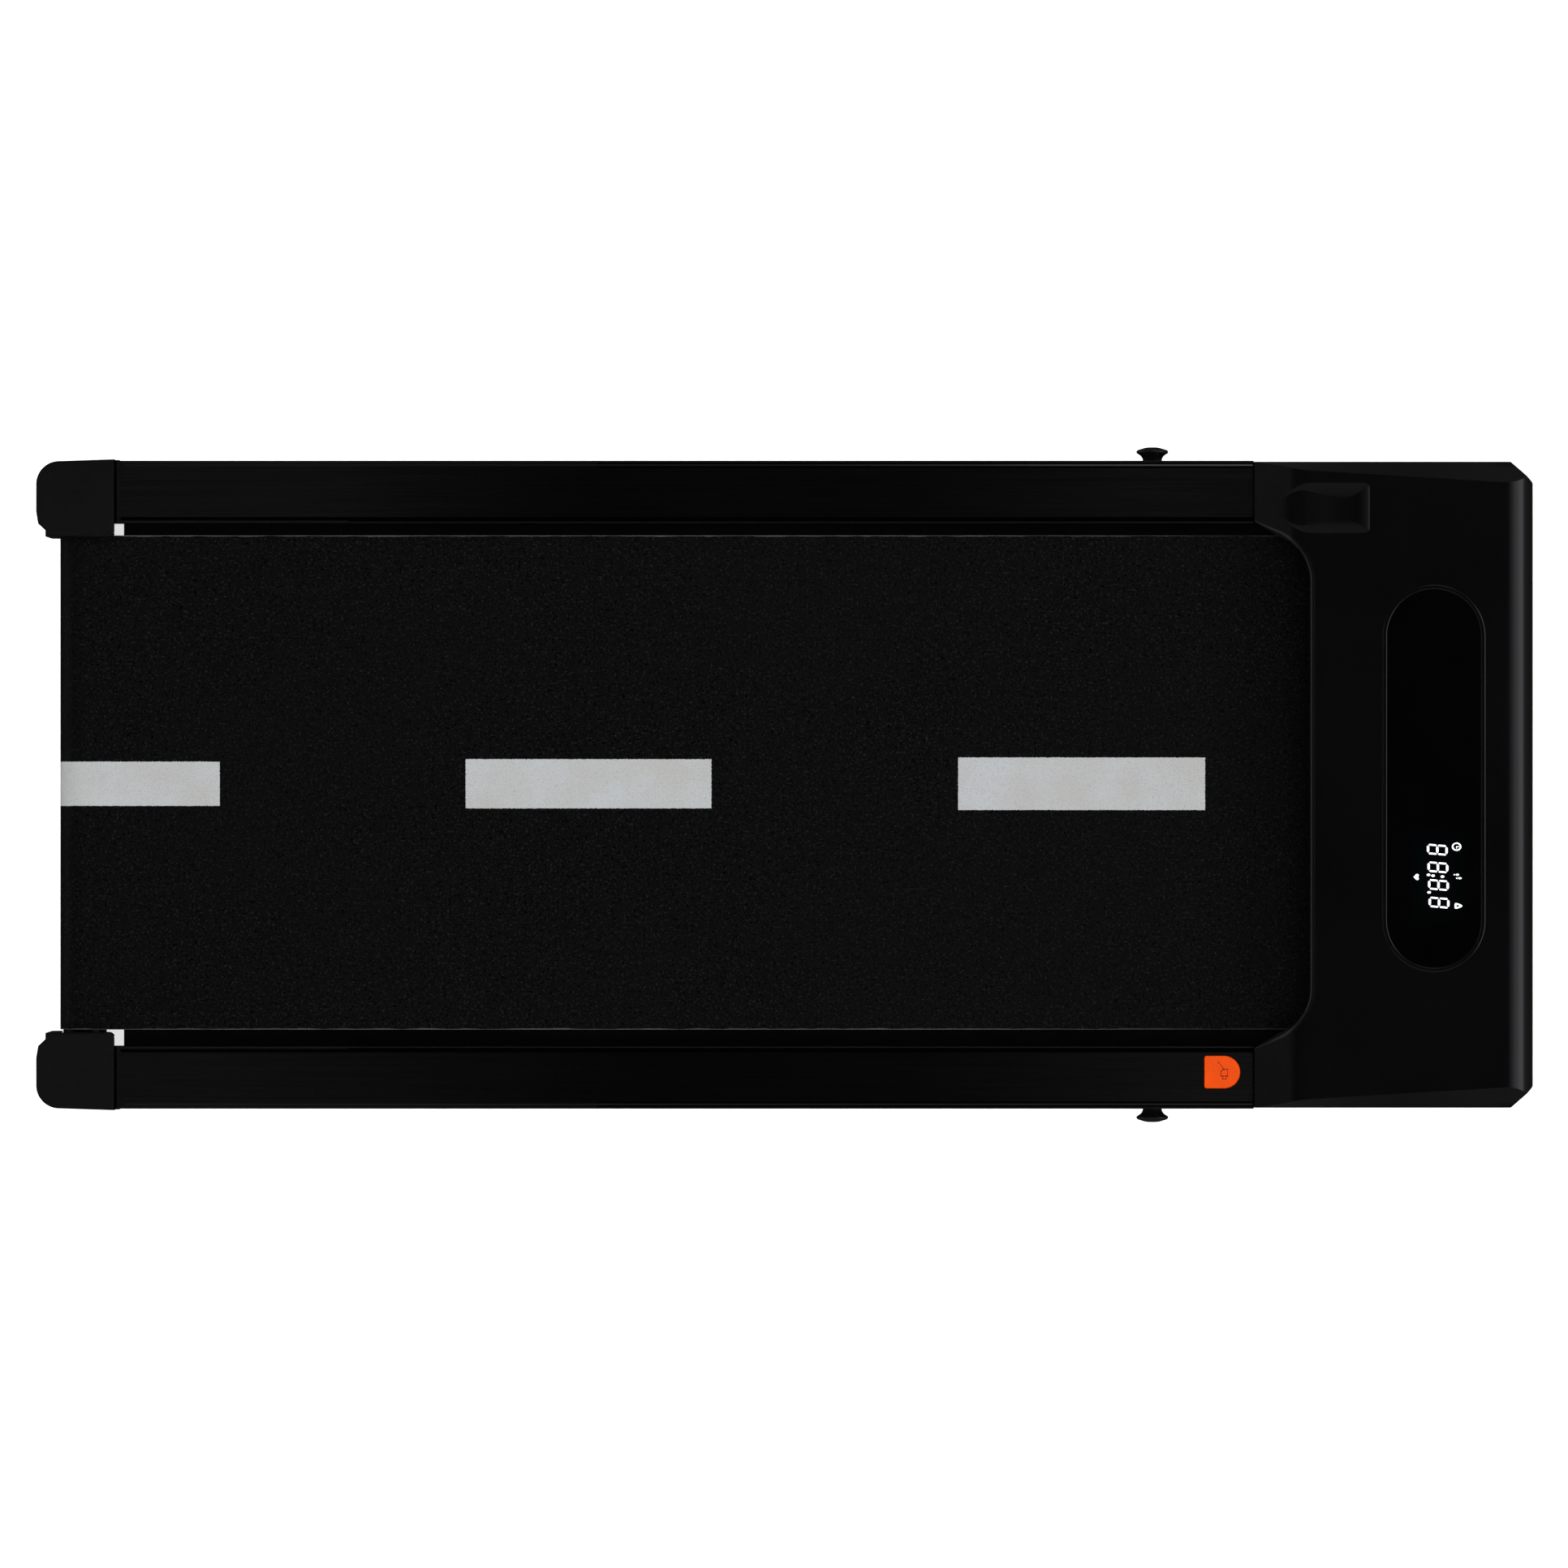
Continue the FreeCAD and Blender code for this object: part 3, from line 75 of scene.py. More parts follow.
def add_softbox(name, place, size, watts, tint, fill=False):
    """A rectangular lamp that faces the object and gives either soft fill or reflections alone."""
    lamp = bpy.data.lights.new(name, "AREA")
    lamp.shape = "RECTANGLE"
    lamp.size, lamp.size_y = size
    lamp.energy = watts
    lamp.color = tint
    box = bpy.data.objects.new(name, lamp)
    bpy.context.scene.collection.objects.link(box)
    box.location = place
    box.rotation_euler = (-Vector(place)).to_track_quat("-Z", "Y").to_euler()
    box.visible_camera = False
    box.visible_glossy = not fill
    box.visible_diffuse = fill


# How bright the room is, from straight below (0) through the horizon (0.5) to straight above (1)
ROOM_LEVELS = ((0.001, 0.035), (0.17, 0.028), (0.27, 0.056), (0.36, 0.085), (0.47, 0.11),
               (0.52, 0.17), (0.66, 0.062), (0.84, 0.006), (0.999, 0.003))


def add_world():
    """A room that is dark overhead, bright at eye level and dim below the horizon."""
    world = bpy.data.worlds.new("studio")
    bpy.context.scene.world = world
    world.use_nodes = True
    tree = world.node_tree
    direction = tree.nodes.new("ShaderNodeTexCoord").outputs["Generated"]
    split = tree.nodes.new("ShaderNodeSeparateXYZ")
    tree.links.new(direction, split.inputs[0])
    height = tree.nodes.new("ShaderNodeMapRange")
    height.inputs["From Min"].default_value = -1.0
    tree.links.new(split.outputs["Z"], height.inputs["Value"])
    room = tree.nodes.new("ShaderNodeValToRGB")
    tree.links.new(height.outputs[0], room.inputs["Fac"])
    tree.links.new(room.outputs["Color"], tree.nodes["Background"].inputs["Color"])
    stops = room.color_ramp.elements
    for place, level in ROOM_LEVELS:
        stop = stops.new(place)
        stop.color = (level, level, level * 1.02, 1)
    stops.remove(stops[-1])
    stops.remove(stops[0])


FLOOR_REACH = 30
FLOOR_GLOW = 0.70


def add_floor():
    """A white floor that glows a little, so that the shadows on it stay soft and pale."""
    corners = [(x * FLOOR_REACH, y * FLOOR_REACH, 0)
               for x, y in ((-1, -1), (1, -1), (1, 1), (-1, 1))]
    mesh = bpy.data.meshes.new("floor")
    mesh.from_pydata(corners, [], [(0, 1, 2, 3)])
    floor = bpy.data.objects.new("floor", mesh)
    bpy.context.scene.collection.objects.link(floor)
    floor.visible_glossy = False
    paint = Paint("floor_white", (0.88, 0.88, 0.88), 0.6)
    paint.finish_surface(grain=(40, 0.02), mottle=(3, 0.01), bump=(60, 0.02, 0.3))
    paint.shader.inputs["Emission Color"].default_value = (1, 1, 1, 1)
    paint.shader.inputs["Emission Strength"].default_value = FLOOR_GLOW
    mesh.materials.append(paint.material)


COOL = (0.94, 0.95, 1.0)
WHITE = (1.0, 1.0, 1.0)
# Reflection panels: name, place, size, watts, tint
PANELS = (("front_low", (3.0, 0.0, 0.89), (3.2, 0.94), 9.0, COOL),
          ("front_middle", (2.67, 0.0, 1.77), (3.2, 0.96), 5.7, COOL),
          ("front_high", (2.12, 0.0, 2.40), (3.2, 0.75), 1.7, COOL),
          ("rear_box", (-3.0, 0.0, 0.7), (3.2, 0.5), 1.0, WHITE),
          ("rear_strip", (-3.0, 0.0, 0.08), (2.8, 0.4), 2.7, COOL),
          ("left_box", (1.0, 2.7, 1.9), (1.7, 0.6), 2.7, WHITE),
          ("right_box", (0.0, -2.2, 2.4), (3.6, 3.0), 3.7, WHITE))
CEILING_HEIGHT = 5.0
CEILING_SIZE = (6.0, 6.0)
CEILING_WATTS = 450


def add_studio():
    settings = bpy.context.scene.view_settings
    settings.view_transform = "Standard"
    settings.look = "None"
    add_world()
    add_floor()
    add_softbox("ceiling_fill", (0.0, 0.0, CEILING_HEIGHT), CEILING_SIZE, CEILING_WATTS, WHITE,
                fill=True)
    for panel in PANELS:
        add_softbox(*panel)


# ---------------------------------------------------------------- materials

class Paint:
    """A Principled material with helpers for procedural colour, roughness and bump."""

    def __init__(self, name, colour, roughness, metallic=0.0, specular=0.5):
        self.material = bpy.data.materials.new(name)
        self.material.use_nodes = True
        self.tree = self.material.node_tree
        self.shader = self.tree.nodes["Principled BSDF"]
        self.colour = colour
        self.roughness = roughness
        self.shader.inputs["Metallic"].default_value = metallic
        self.shader.inputs["Specular IOR Level"].default_value = specular
        self.place = self.node("ShaderNodeTexCoord").outputs["Object"]

    def node(self, kind, inputs=None, **settings):
        made = self.tree.nodes.new(kind)
        for key, value in settings.items():
            setattr(made, key, value)
        for key, value in (inputs or {}).items():
            if isinstance(value, bpy.types.NodeSocket):
                self.tree.links.new(value, made.inputs[key])
            else:
                made.inputs[key].default_value = value
        return made

    def stretched(self, stretch):
        return self.node("ShaderNodeMapping", {"Vector": self.place, "Scale": stretch}).outputs[0]

    def noise(self, scale, detail=3.0, stretch=(1, 1, 1)):
        """Noise whose features are about 1 / scale metres across."""
        return self.node("ShaderNodeTexNoise", {"Vector": self.stretched(stretch), "Scale": scale,
                                                "Detail": detail}).outputs["Fac"]

    def ramp(self, value, low, high, out_low=0.0, out_high=1.0):
        return self.node("ShaderNodeMapRange", {"Value": value, "From Min": low, "From Max": high,
                                                "To Min": out_low, "To Max": out_high}).outputs[0]

    def maths(self, operation, first, second=0.0):
        made = self.node("ShaderNodeMath", operation=operation)
        for index, value in enumerate((first, second)):
            if isinstance(value, bpy.types.NodeSocket):
                self.tree.links.new(value, made.inputs[index])
            else:
                made.inputs[index].default_value = value
        return made.outputs[0]

    def axis(self, letter):
        return self.node("ShaderNodeSeparateXYZ", {"Vector": self.place}).outputs[letter]

    def mix(self, factor, first, second):
        made = self.node("ShaderNodeMix", data_type="RGBA")
        for index, value in ((0, factor), (6, first), (7, second)):
            if isinstance(value, bpy.types.NodeSocket):
                self.tree.links.new(value, made.inputs[index])
            else:
                made.inputs[index].default_value = (*value, 1) if index else value
        return made.outputs[2]

    def set_colour(self, socket):
        self.tree.links.new(socket, self.shader.inputs["Base Color"])

    def set_roughness(self, socket):
        self.tree.links.new(socket, self.shader.inputs["Roughness"])

    def set_bump(self, height, strength, distance_mm):
        bump = self.node("ShaderNodeBump", {"Height": height, "Strength": strength,
                                            "Distance": distance_mm * MM})
        self.tree.links.new(bump.outputs[0], self.shader.inputs["Normal"])

    def finish_surface(self, grain=(300, 0.15), mottle=(9, 0.12), bump=(900, 0.25, 0.15),
                       stretch=(1, 1, 1)):
        """Fine grain and broad mottling in colour and roughness, with a matching bump."""
        fine = self.noise(grain[0], 4, stretch)
        broad = self.noise(mottle[0], 3, (1, 1, 1))
        spread = grain[1] + mottle[1]
        blend = self.maths("ADD", self.maths("MULTIPLY", fine, grain[1] / spread),
                           self.maths("MULTIPLY", broad, mottle[1] / spread))
        dark = tuple(value * (1 - spread) for value in self.colour)
        light = tuple(value * (1 + spread) for value in self.colour)
        self.set_colour(self.mix(self.ramp(blend, 0.3, 0.7), dark, light))
        self.set_roughness(self.ramp(blend, 0.3, 0.7, self.roughness * (1 - spread / 2),
                                     min(1.0, self.roughness * (1 + spread / 2))))
        self.set_bump(self.noise(bump[0], 4, stretch), bump[1], bump[2])
        return self.material


def plain_materials():
    """One material for each slot whose surface is a fine-grained version of one colour."""
    rows = {
        "frame_paint": ((0.012, 0.012, 0.013), 0.42, 0.0, 0.4, dict(bump=(420, 0.35, 0.2))),
        "cap_plastic": (srgb(10, 10, 10), 0.46, 0.0, 0.15, dict(bump=(1500, 0.4, 0.08))),
        "hood_plastic": (srgb(5, 5, 5.4), 0.21, 0.0, 0.66, dict(bump=(1500, 0.25, 0.04))),
        "deck_wood": (srgb(2, 2, 2), 0.5, 0.0, 0.09,
                      dict(bump=(250, 0.15, 0.1), stretch=(0.2, 1, 1))),
        "soft_rubber": ((0.012, 0.012, 0.012), 0.75, 0.0, 0.3, dict(bump=(700, 0.4, 0.15))),
        "zinc_steel": ((0.55, 0.55, 0.53), 0.32, 1.0, 0.5,
                       dict(mottle=(60, 0.25), bump=(900, 0.15, 0.05))),
        "bearing_steel": ((0.5, 0.5, 0.5), 0.25, 1.0, 0.5, dict(bump=(900, 0.1, 0.05))),
        "roller_steel": ((0.03, 0.03, 0.031), 0.4, 1.0, 0.5,
                         dict(stretch=(1, 12, 1), bump=(900, 0.2, 0.05))),
        "pulley_aluminium": ((0.55, 0.55, 0.56), 0.35, 1.0, 0.5, dict(bump=(800, 0.15, 0.05))),
        "flywheel_iron": ((0.12, 0.12, 0.12), 0.45, 1.0, 0.5, dict(bump=(500, 0.3, 0.1))),
        "motor_paint": ((0.02, 0.02, 0.021), 0.3, 0.0, 0.5, dict(bump=(300, 0.2, 0.1))),
        "drive_rubber": ((0.012, 0.012, 0.012), 0.6, 0.0, 0.4, dict(bump=(900, 0.3, 0.1))),
        "bezel_plastic": (srgb(5, 5, 5.5), 0.20, 0.0, 1.0, dict(bump=(900, 0.06, 0.03))),
        "circuit_board": ((0.012, 0.07, 0.03), 0.35, 0.0, 0.5,
                          dict(mottle=(120, 0.5), bump=(500, 0.4, 0.2))),
        "sink_aluminium": ((0.62, 0.62, 0.63), 0.35, 1.0, 0.5,
                           dict(stretch=(12, 1, 1), bump=(700, 0.2, 0.05))),
        "clip_plastic": (srgb(0.5, 0.5, 0.5), 0.6, 0.0, 0.06, dict(bump=(900, 0.3, 0.1))),
        "knob_plastic": (srgb(9, 9, 9), 0.33, 0.0, 0.8, dict(bump=(1100, 0.15, 0.05))),
        "wheel_plastic": ((0.014, 0.014, 0.014), 0.5, 0.0, 0.4, dict(bump=(800, 0.3, 0.1))),
        "cable_sleeve": ((0.03, 0.03, 0.03), 0.6, 0.0, 0.4, dict(bump=(1200, 0.6, 0.15))),
        "socket_plastic": ((0.01, 0.01, 0.01), 0.4, 0.0, 0.4, dict(bump=(900, 0.2, 0.06))),
        "switch_plastic": ((0.008, 0.008, 0.008), 0.2, 0.0, 0.5, dict(bump=(900, 0.05, 0.03))),
    }
    made = {}
    for slot, (colour, roughness, metallic, specular, detail) in rows.items():
        made[slot] = Paint(slot, colour, roughness, metallic, specular).finish_surface(**detail)
    return made


def orange_material():
    paint = Paint("orange_rubber", (0.66, 0.060, 0.0004), 0.42, 0.0, 0.10)
    return paint.finish_surface(grain=(700, 0.06), mottle=(90, 0.06), bump=(1200, 0.2, 0.05))


DIGIT_GLOW = (0.522, -0.073)


def lens_material():
    """Polished smoked plastic with the faintest dust and a dim glow round the digits."""
    paint = Paint("lens_plastic", (0.0006, 0.0006, 0.0008), 0.06, 0.0, 0.9)
    x, y = DIGIT_GLOW
    along = paint.maths("ABSOLUTE", paint.maths("SUBTRACT", paint.axis("X"), x))
    across = paint.maths("ABSOLUTE", paint.maths("SUBTRACT", paint.axis("Y"), y))
    glow = paint.maths("MULTIPLY", paint.ramp(along, 0.024, 0.009),
                       paint.ramp(across, 0.040, 0.022))
    glow = paint.mix(glow, (0.0, 0.0, 0.0), (0.0001, 0.0013, 0.0010))
    paint.tree.links.new(glow, paint.shader.inputs["Emission Color"])
    paint.shader.inputs["Emission Strength"].default_value = 1.0
    return paint.finish_surface(grain=(1500, 0.2), mottle=(20, 0.3), bump=(30, 0.02, 0.02))


def rail_material():
    """Black anodised aluminium, drawn along its length, with painted shade that makes it darker at
    mid-length.
    """
    paint = Paint("rail_aluminium", srgb(9, 9, 9), 0.32, 0.0, 0.24)
    drawn = paint.noise(900, 3, (0.01, 1, 1))
    broad = paint.noise(4, 2)
    blend = paint.maths("ADD", paint.maths("MULTIPLY", drawn, 0.6),
                        paint.maths("MULTIPLY", broad, 0.4))
    # Painted shade: the rail is darkened at mid-length and left lighter towards both ends.
    dim = paint.maths("MULTIPLY", paint.ramp(paint.axis("X"), -0.36, -0.16, 0.0, 0.7),
                      paint.ramp(paint.axis("X"), 0.33, 0.10))
    metal = paint.mix(paint.ramp(blend, 0.3, 0.7), srgb(5, 5, 5), srgb(11, 11, 11))
    paint.set_colour(paint.mix(dim, metal, srgb(0.5, 0.5, 0.5)))
    paint.set_roughness(paint.ramp(blend, 0.3, 0.7, 0.28, 0.42))
    paint.set_bump(drawn, 0.15, 0.05)
    return paint.material


def rail_edge_material(name, bright):
    """The same anodising with a painted highlight on it, brighter towards the hood."""
    paint = Paint(name, srgb(13, 13, 13), 0.30, 0.0, 1.0)
    paint.finish_surface(grain=(800, 0.1), mottle=(12, 0.15), bump=(900, 0.1, 0.03),
                         stretch=(0.02, 1, 1))
    # Painted highlight: the edge colour is lightened towards the hood, in patches.
    painted_highlight = paint.maths("MULTIPLY", paint.ramp(paint.axis("X"), 0.02, 0.37),
                       paint.ramp(paint.noise(9, 3, (1, 0.1, 1)), 0.3, 0.6, 0.5, 1.0))
    paint.set_colour(paint.mix(painted_highlight, srgb(13, 13, 13), srgb(bright, bright, bright)))
    return paint.material


DASHES_ABOVE = ((-0.620, -0.4536), (-0.2560, -0.0586), (0.1396, 0.3380))
DASHES_BELOW = ((-0.620, -0.5316), (-0.3338, -0.1358), (0.0622, 0.2602))
DASH_HALF_WIDTH = (0.01775, 0.01975, 0.0211)
DASH_MIDDLE = 0.0008
# Heights between which the belt's upper run takes over from its lower one
UPPER_RUN = (0.0570, 0.0580)
# How fast the woven relief waves, in radians for each metre
WEAVE_TURNS = 2600


def belt_material():
    """Black belt cover with a fine woven relief, pale flecks, printed dashes and pale cut edges,
    and painted shade near the hood's mouth.
    """
    paint = Paint("belt_rubber", srgb(11, 11, 11), 0.55, 0.0, 0.15)
    along, across, up = (paint.axis(letter) for letter in "XYZ")
    warp = paint.maths("MULTIPLY", paint.maths("ADD", along, across), WEAVE_TURNS)
    weft = paint.maths("MULTIPLY", paint.maths("SUBTRACT", along, across), WEAVE_TURNS)
    weave = paint.maths("MULTIPLY", paint.maths("SINE", warp), paint.maths("SINE", weft))
    fleck = paint.ramp(paint.noise(520, 3), 0.56, 0.72)
    pit = paint.ramp(paint.noise(430, 2), 0.58, 0.68)
    grain = paint.ramp(paint.noise(1300, 2), 0.35, 0.70)
    broad = paint.noise(6, 3)
    ground = paint.mix(grain, srgb(3, 3, 3), srgb(9, 9, 9))
    ground = paint.mix(fleck, ground, srgb(22, 22, 22.5))
    ground = paint.mix(pit, ground, srgb(0.5, 0.5, 0.5))
    ground = paint.mix(paint.ramp(broad, 0.35, 0.65, 0.0, 0.25), ground, srgb(8, 8, 8))
    # Painted shade: the belt is darkened towards the hood's mouth, where the hood keeps light off
    # it.
    ground = paint.mix(paint.ramp(along, 0.33, 0.425, 0.0, 0.45), ground, srgb(1, 1, 1))
    speckle = paint.ramp(paint.noise(1000, 4), 0.50, 0.75)
    patch = paint.ramp(paint.noise(28, 3), 0.40, 0.65)
    ink = paint.mix(patch, (0.375, 0.375, 0.37), (0.395, 0.41, 0.42))
    ink = paint.mix(speckle, ink, (0.285, 0.29, 0.295))
    colour = paint.mix(dash_mask(paint, along, across, up), ground, ink)
    colour = paint.mix(cut_edge_mask(paint, along, across), colour, (0.050, 0.050, 0.049))
    paint.set_colour(colour)
    paint.set_roughness(paint.ramp(broad, 0.3, 0.7, 0.5, 0.62))
    relief = paint.maths("ADD", paint.maths("MULTIPLY", weave, 0.3),
                         paint.maths("MULTIPLY", fleck, 0.6))
    paint.set_bump(relief, 0.35, 0.12)
    return paint.material


def cut_edge_mask(paint, along, across):
    """1 on the frayed fabric of the belt's two cut edges, dimmed towards the hood as painted shade
    from the hood's shadow.
    """
    (low, high) = (corner.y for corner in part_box("walking_belt"))
    middle, half = (high + low) / 2, (high - low) / 2
    reach = paint.maths("ABSOLUTE", paint.maths("SUBTRACT", across, middle))
    frayed = paint.ramp(paint.noise(160, 4, (0.35, 1, 1)), 0.35, 0.65, -0.0004, 0.0004)
    edge = paint.ramp(paint.maths("ADD", reach, frayed), half - 0.0009, half - 0.0005)
    patchy = paint.ramp(paint.noise(45, 3, (1, 0.1, 1)), 0.35, 0.6, 0.55, 1.0)
    # Painted shade: the pale edge is dimmed towards the hood, standing in for the hood's shadow.
    hood_shadow_fade = paint.ramp(along, 0.36, 0.15, 0.15, 1.0)
    return paint.maths("MULTIPLY", paint.maths("MULTIPLY", edge, patchy), hood_shadow_fade)


def dash_mask(paint, along, across, up):
    """1 on the printed dashes, which carry on round the rear roller."""
    ragged = paint.maths("MULTIPLY", paint.maths("SUBTRACT", paint.noise(900, 3), 0.5), 0.0012)
    top = paint.ramp(up, *UPPER_RUN)
    layers = []
    for rows, side in ((DASHES_ABOVE, top), (DASHES_BELOW, paint.maths("SUBTRACT", 1.0, top))):
        for (rear, front), half in zip(rows, DASH_HALF_WIDTH):
            shifted = paint.maths("ADD", along, ragged)
            mask = paint.maths("MULTIPLY", paint.ramp(shifted, rear - 0.0002, rear + 0.0002),
                               paint.ramp(shifted, front + 0.0002, front - 0.0002))
            aside = paint.maths("ABSOLUTE", paint.maths("SUBTRACT", across, DASH_MIDDLE))
            aside = paint.maths("ADD", aside, ragged)
            mask = paint.maths("MULTIPLY", mask, paint.ramp(aside, half + 0.0002, half - 0.0002))
            layers.append(paint.maths("MULTIPLY", mask, side))
    total = layers[0]
    for layer in layers[1:]:
        total = paint.maths("MAXIMUM", total, layer)
    return total


def glow_material():
    paint = Paint("digit_light", (0.5, 0.5, 0.5), 0.5)
    fine = paint.ramp(paint.noise(2500, 3), 0.2, 0.8, 0.85, 1.0)
    paint.set_colour(paint.mix(fine, (0.5, 0.5, 0.5), (0.85, 0.87, 0.9)))
    paint.shader.inputs["Emission Color"].default_value = (0.93, 0.96, 1.0, 1)
    paint.shader.inputs["Emission Strength"].default_value = 0.75
    return paint.material


def paint_nodes():
    """Every CAD node takes the material of its slot."""
    made = plain_materials()
    made["orange_rubber"] = orange_material()
    made["lens_plastic"] = lens_material()
    made["rail_aluminium"] = rail_material()
    made["belt_rubber"] = belt_material()
    for entry in frame["record"]["subparts"]:
        node = nodes[entry["node"]]
        node.data.materials.clear()
        node.data.materials.append(made[entry["material_slot"]])
    return made


# ---------------------------------------------------------------- mesh helpers

def add_piece(name, mesh, material, body="root"):
    mesh.materials.clear()
    mesh.materials.append(material)
    piece = bpy.data.objects.new(name, mesh)
    bpy.context.scene.collection.objects.link(piece)
    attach(piece, body)
    return piece


def finished_mesh(shape, name):
    """A mesh made from a bmesh, which is then let go."""
    mesh = bpy.data.meshes.new(name)
    shape.to_mesh(mesh)
    shape.free()
    return mesh


def join_rows(shape, rows, closed):
    """Faces between rings of vertices, and between the last ring and the first where closed."""
    for row, after in zip(rows, rows[1:] + (rows[:1] if closed else [])):
        for k in range(len(row)):
            following = (k + 1) % len(row)
            shape.faces.new((row[k], row[following], after[following], after[k]))


def node_facts(name):
    """The body and slot that the record gives a node."""
    bodies = frame["record"]["behaviour"]["bodies"]
    body = next(key for key, members in bodies.items() if name in members)
    slot = next(row["material_slot"] for row in frame["record"]["subparts"] if row["node"] == name)
    return body, slot


WELD_DISTANCE = 2e-6
FLAT_ANGLE = 0.6
BEVEL_SEGMENTS = 3
BEVEL_ANGLE = 30
CRISP_ANGLE = 35


def soften(name, width_mm):
    """A copy of a CAD node with rounded edges, which stands for it."""
    body, slot = node_facts(name)
    shape = bmesh.new()
    shape.from_mesh(nodes[name].data)
    bmesh.ops.remove_doubles(shape, verts=shape.verts, dist=WELD_DISTANCE)
    bmesh.ops.dissolve_limit(shape, angle_limit=math.radians(FLAT_ANGLE), verts=shape.verts,
                             edges=shape.edges)
    mesh = finished_mesh(shape, name + "_soft")
    piece = add_piece(name + "_soft", mesh, nodes[name].data.materials[0], body)
    bevel = piece.modifiers.new("round_edges", "BEVEL")
    bevel.width = width_mm * MM
    bevel.segments = BEVEL_SEGMENTS
    bevel.limit_method = "ANGLE"
    bevel.angle_limit = math.radians(BEVEL_ANGLE)
    bevel.use_clamp_overlap = True
    apply_modifiers(piece)
    smooth(piece, CRISP_ANGLE)
    weigh_normals(piece)
    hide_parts(name)
    return piece


def weigh_normals(piece):
    """Shading that follows the large faces, so that a face stays flat beside a rounded edge."""
    weigh = piece.modifiers.new("weighted_normals", "WEIGHTED_NORMAL")
    weigh.keep_sharp = True
    apply_modifiers(piece)


def apply_modifiers(piece):
    graph = bpy.context.evaluated_depsgraph_get()
    mesh = bpy.data.meshes.new_from_object(piece.evaluated_get(graph))
    piece.modifiers.clear()
    piece.data = mesh


def smooth(piece, angle):
    """Smooth shading, with edges sharper than the angle kept crisp."""
    mesh = piece.data
    mesh.polygons.foreach_set("use_smooth", [True] * len(mesh.polygons))
    shape = bmesh.new()
    shape.from_mesh(mesh)
    for edge in shape.edges:
        edge.smooth = edge.calc_face_angle(0.0) < math.radians(angle)
    shape.to_mesh(mesh)
    shape.free()


# How wide each piece's edges are rounded, in millimetres
SOFT_EDGES = {"hood": 0.9, "side_rail_left": 0.18, "side_rail_right": 0.18, "rear_cap_left": 0.5,
              "rear_cap_right": 0.5, "oil_plug": 0.7, "frame_tube_left": 1.2,
              "frame_tube_right": 1.2, "deck_board": 0.8, "rail_clips": 1.0, "axle_blocks": 1.0,
              "mains_inlet": 0.5, "switch_housing": 0.4, "power_rocker": 0.3,
              "rear_bracket_left": 0.4, "rear_bracket_right": 0.4, "power_panel": 0.4,
              "motor_plate": 0.5, "motor_saddles": 0.8, "base_pan": 0.4}


def round_the_edges():
    for name, width in SOFT_EDGES.items():
        soften(name, width)


# ---------------------------------------------------------------- display marks

MARK_LIFT = 0.00002
# A digit's width and half height in millimetres, its slant, the first one's place and the step
# to the next
DIGIT_COLUMNS = 6.9
DIGIT_ROWS = 7.4
DIGIT_SLANT = math.tan(math.radians(4.8))
DIGIT_FOOT = (0.5144, -0.0519)
DIGIT_STEP = (0.00046, -0.0141)
DIGIT_COUNT = 4
DIGIT_DOTS = ((0.5148, -0.0720), (0.5184, -0.0727), (0.5259, -0.0734), (0.5152, -0.0860))
CLOCK = (0.5372, -0.0495)
FOOTPRINTS = ((0.5370, -0.0719), (0.5390, -0.0747))
DROP = (0.5380, -0.0968)
HEART = (0.5052, -0.0737)


def flat_marks(name, polygons, height, material, body="root", thick=0.08):
    """Thin raised plates from outlines given as (x, y) points in metres."""
    shape = bmesh.new()
    for polygon in polygons:
        low = [shape.verts.new((x, y, height)) for x, y in polygon]
        face = shape.faces.new(low)
        raised = bmesh.ops.extrude_face_region(shape, geom=[face])
        moved = [item for item in raised["geom"] if isinstance(item, bmesh.types.BMVert)]
        bmesh.ops.translate(shape, verts=moved, vec=(0, 0, thick * MM))
    bmesh.ops.recalc_face_normals(shape, faces=shape.faces)
    return add_piece(name, finished_mesh(shape, name), material, body)


def segment(start, end, thick, gap):
    """One bar of a digit, pointed at both ends, in the digit's own millimetres."""
    (u0, v0), (u1, v1) = start, end
    length = math.hypot(u1 - u0, v1 - v0)
    du, dv = (u1 - u0) / length, (v1 - v0) / length
    half = thick / 2
    points = []
    for along, side in ((gap, 0.3), (gap + half, 1), (length - gap - half, 1), (length - gap, 0.3),
                        (length - gap, -0.3), (length - gap - half, -1), (gap + half, -1),
                        (gap, -0.3)):
        points.append((u0 + du * along - dv * half * side, v0 + dv * along + du * half * side))
    return points


def digit(place):
    """A slanted figure eight that reads with +X up and -Y to its right."""
    left, right = -DIGIT_COLUMNS / 2, DIGIT_COLUMNS / 2
    heights = [row * DIGIT_ROWS for row in range(3)]
    bars = [((left, high), (right, high), 1.9, 0.75) for high in heights]
    bars += [((side, low), (side, high), 1.4, 0.5) for side in (left, right)
             for low, high in zip(heights, heights[1:])]
    return [[(place[0] + v * MM, place[1] - (u + (v - DIGIT_ROWS) * DIGIT_SLANT) * MM)
             for u, v in segment(*bar)] for bar in bars]


def disc(x, y, radius_x, radius_y, sides=20):
    """An ellipse whose radii are in millimetres."""
    return [(x + radius_x * MM * math.cos(2 * math.pi * k / sides),
             y + radius_y * MM * math.sin(2 * math.pi * k / sides)) for k in range(sides)]


def band(inner, outer):
    """Small plates that fill the space between two outlines with as many points."""
    count = len(outer)
    return [[inner[k], outer[k], outer[(k + 1) % count], inner[(k + 1) % count]]
            for k in range(count)]


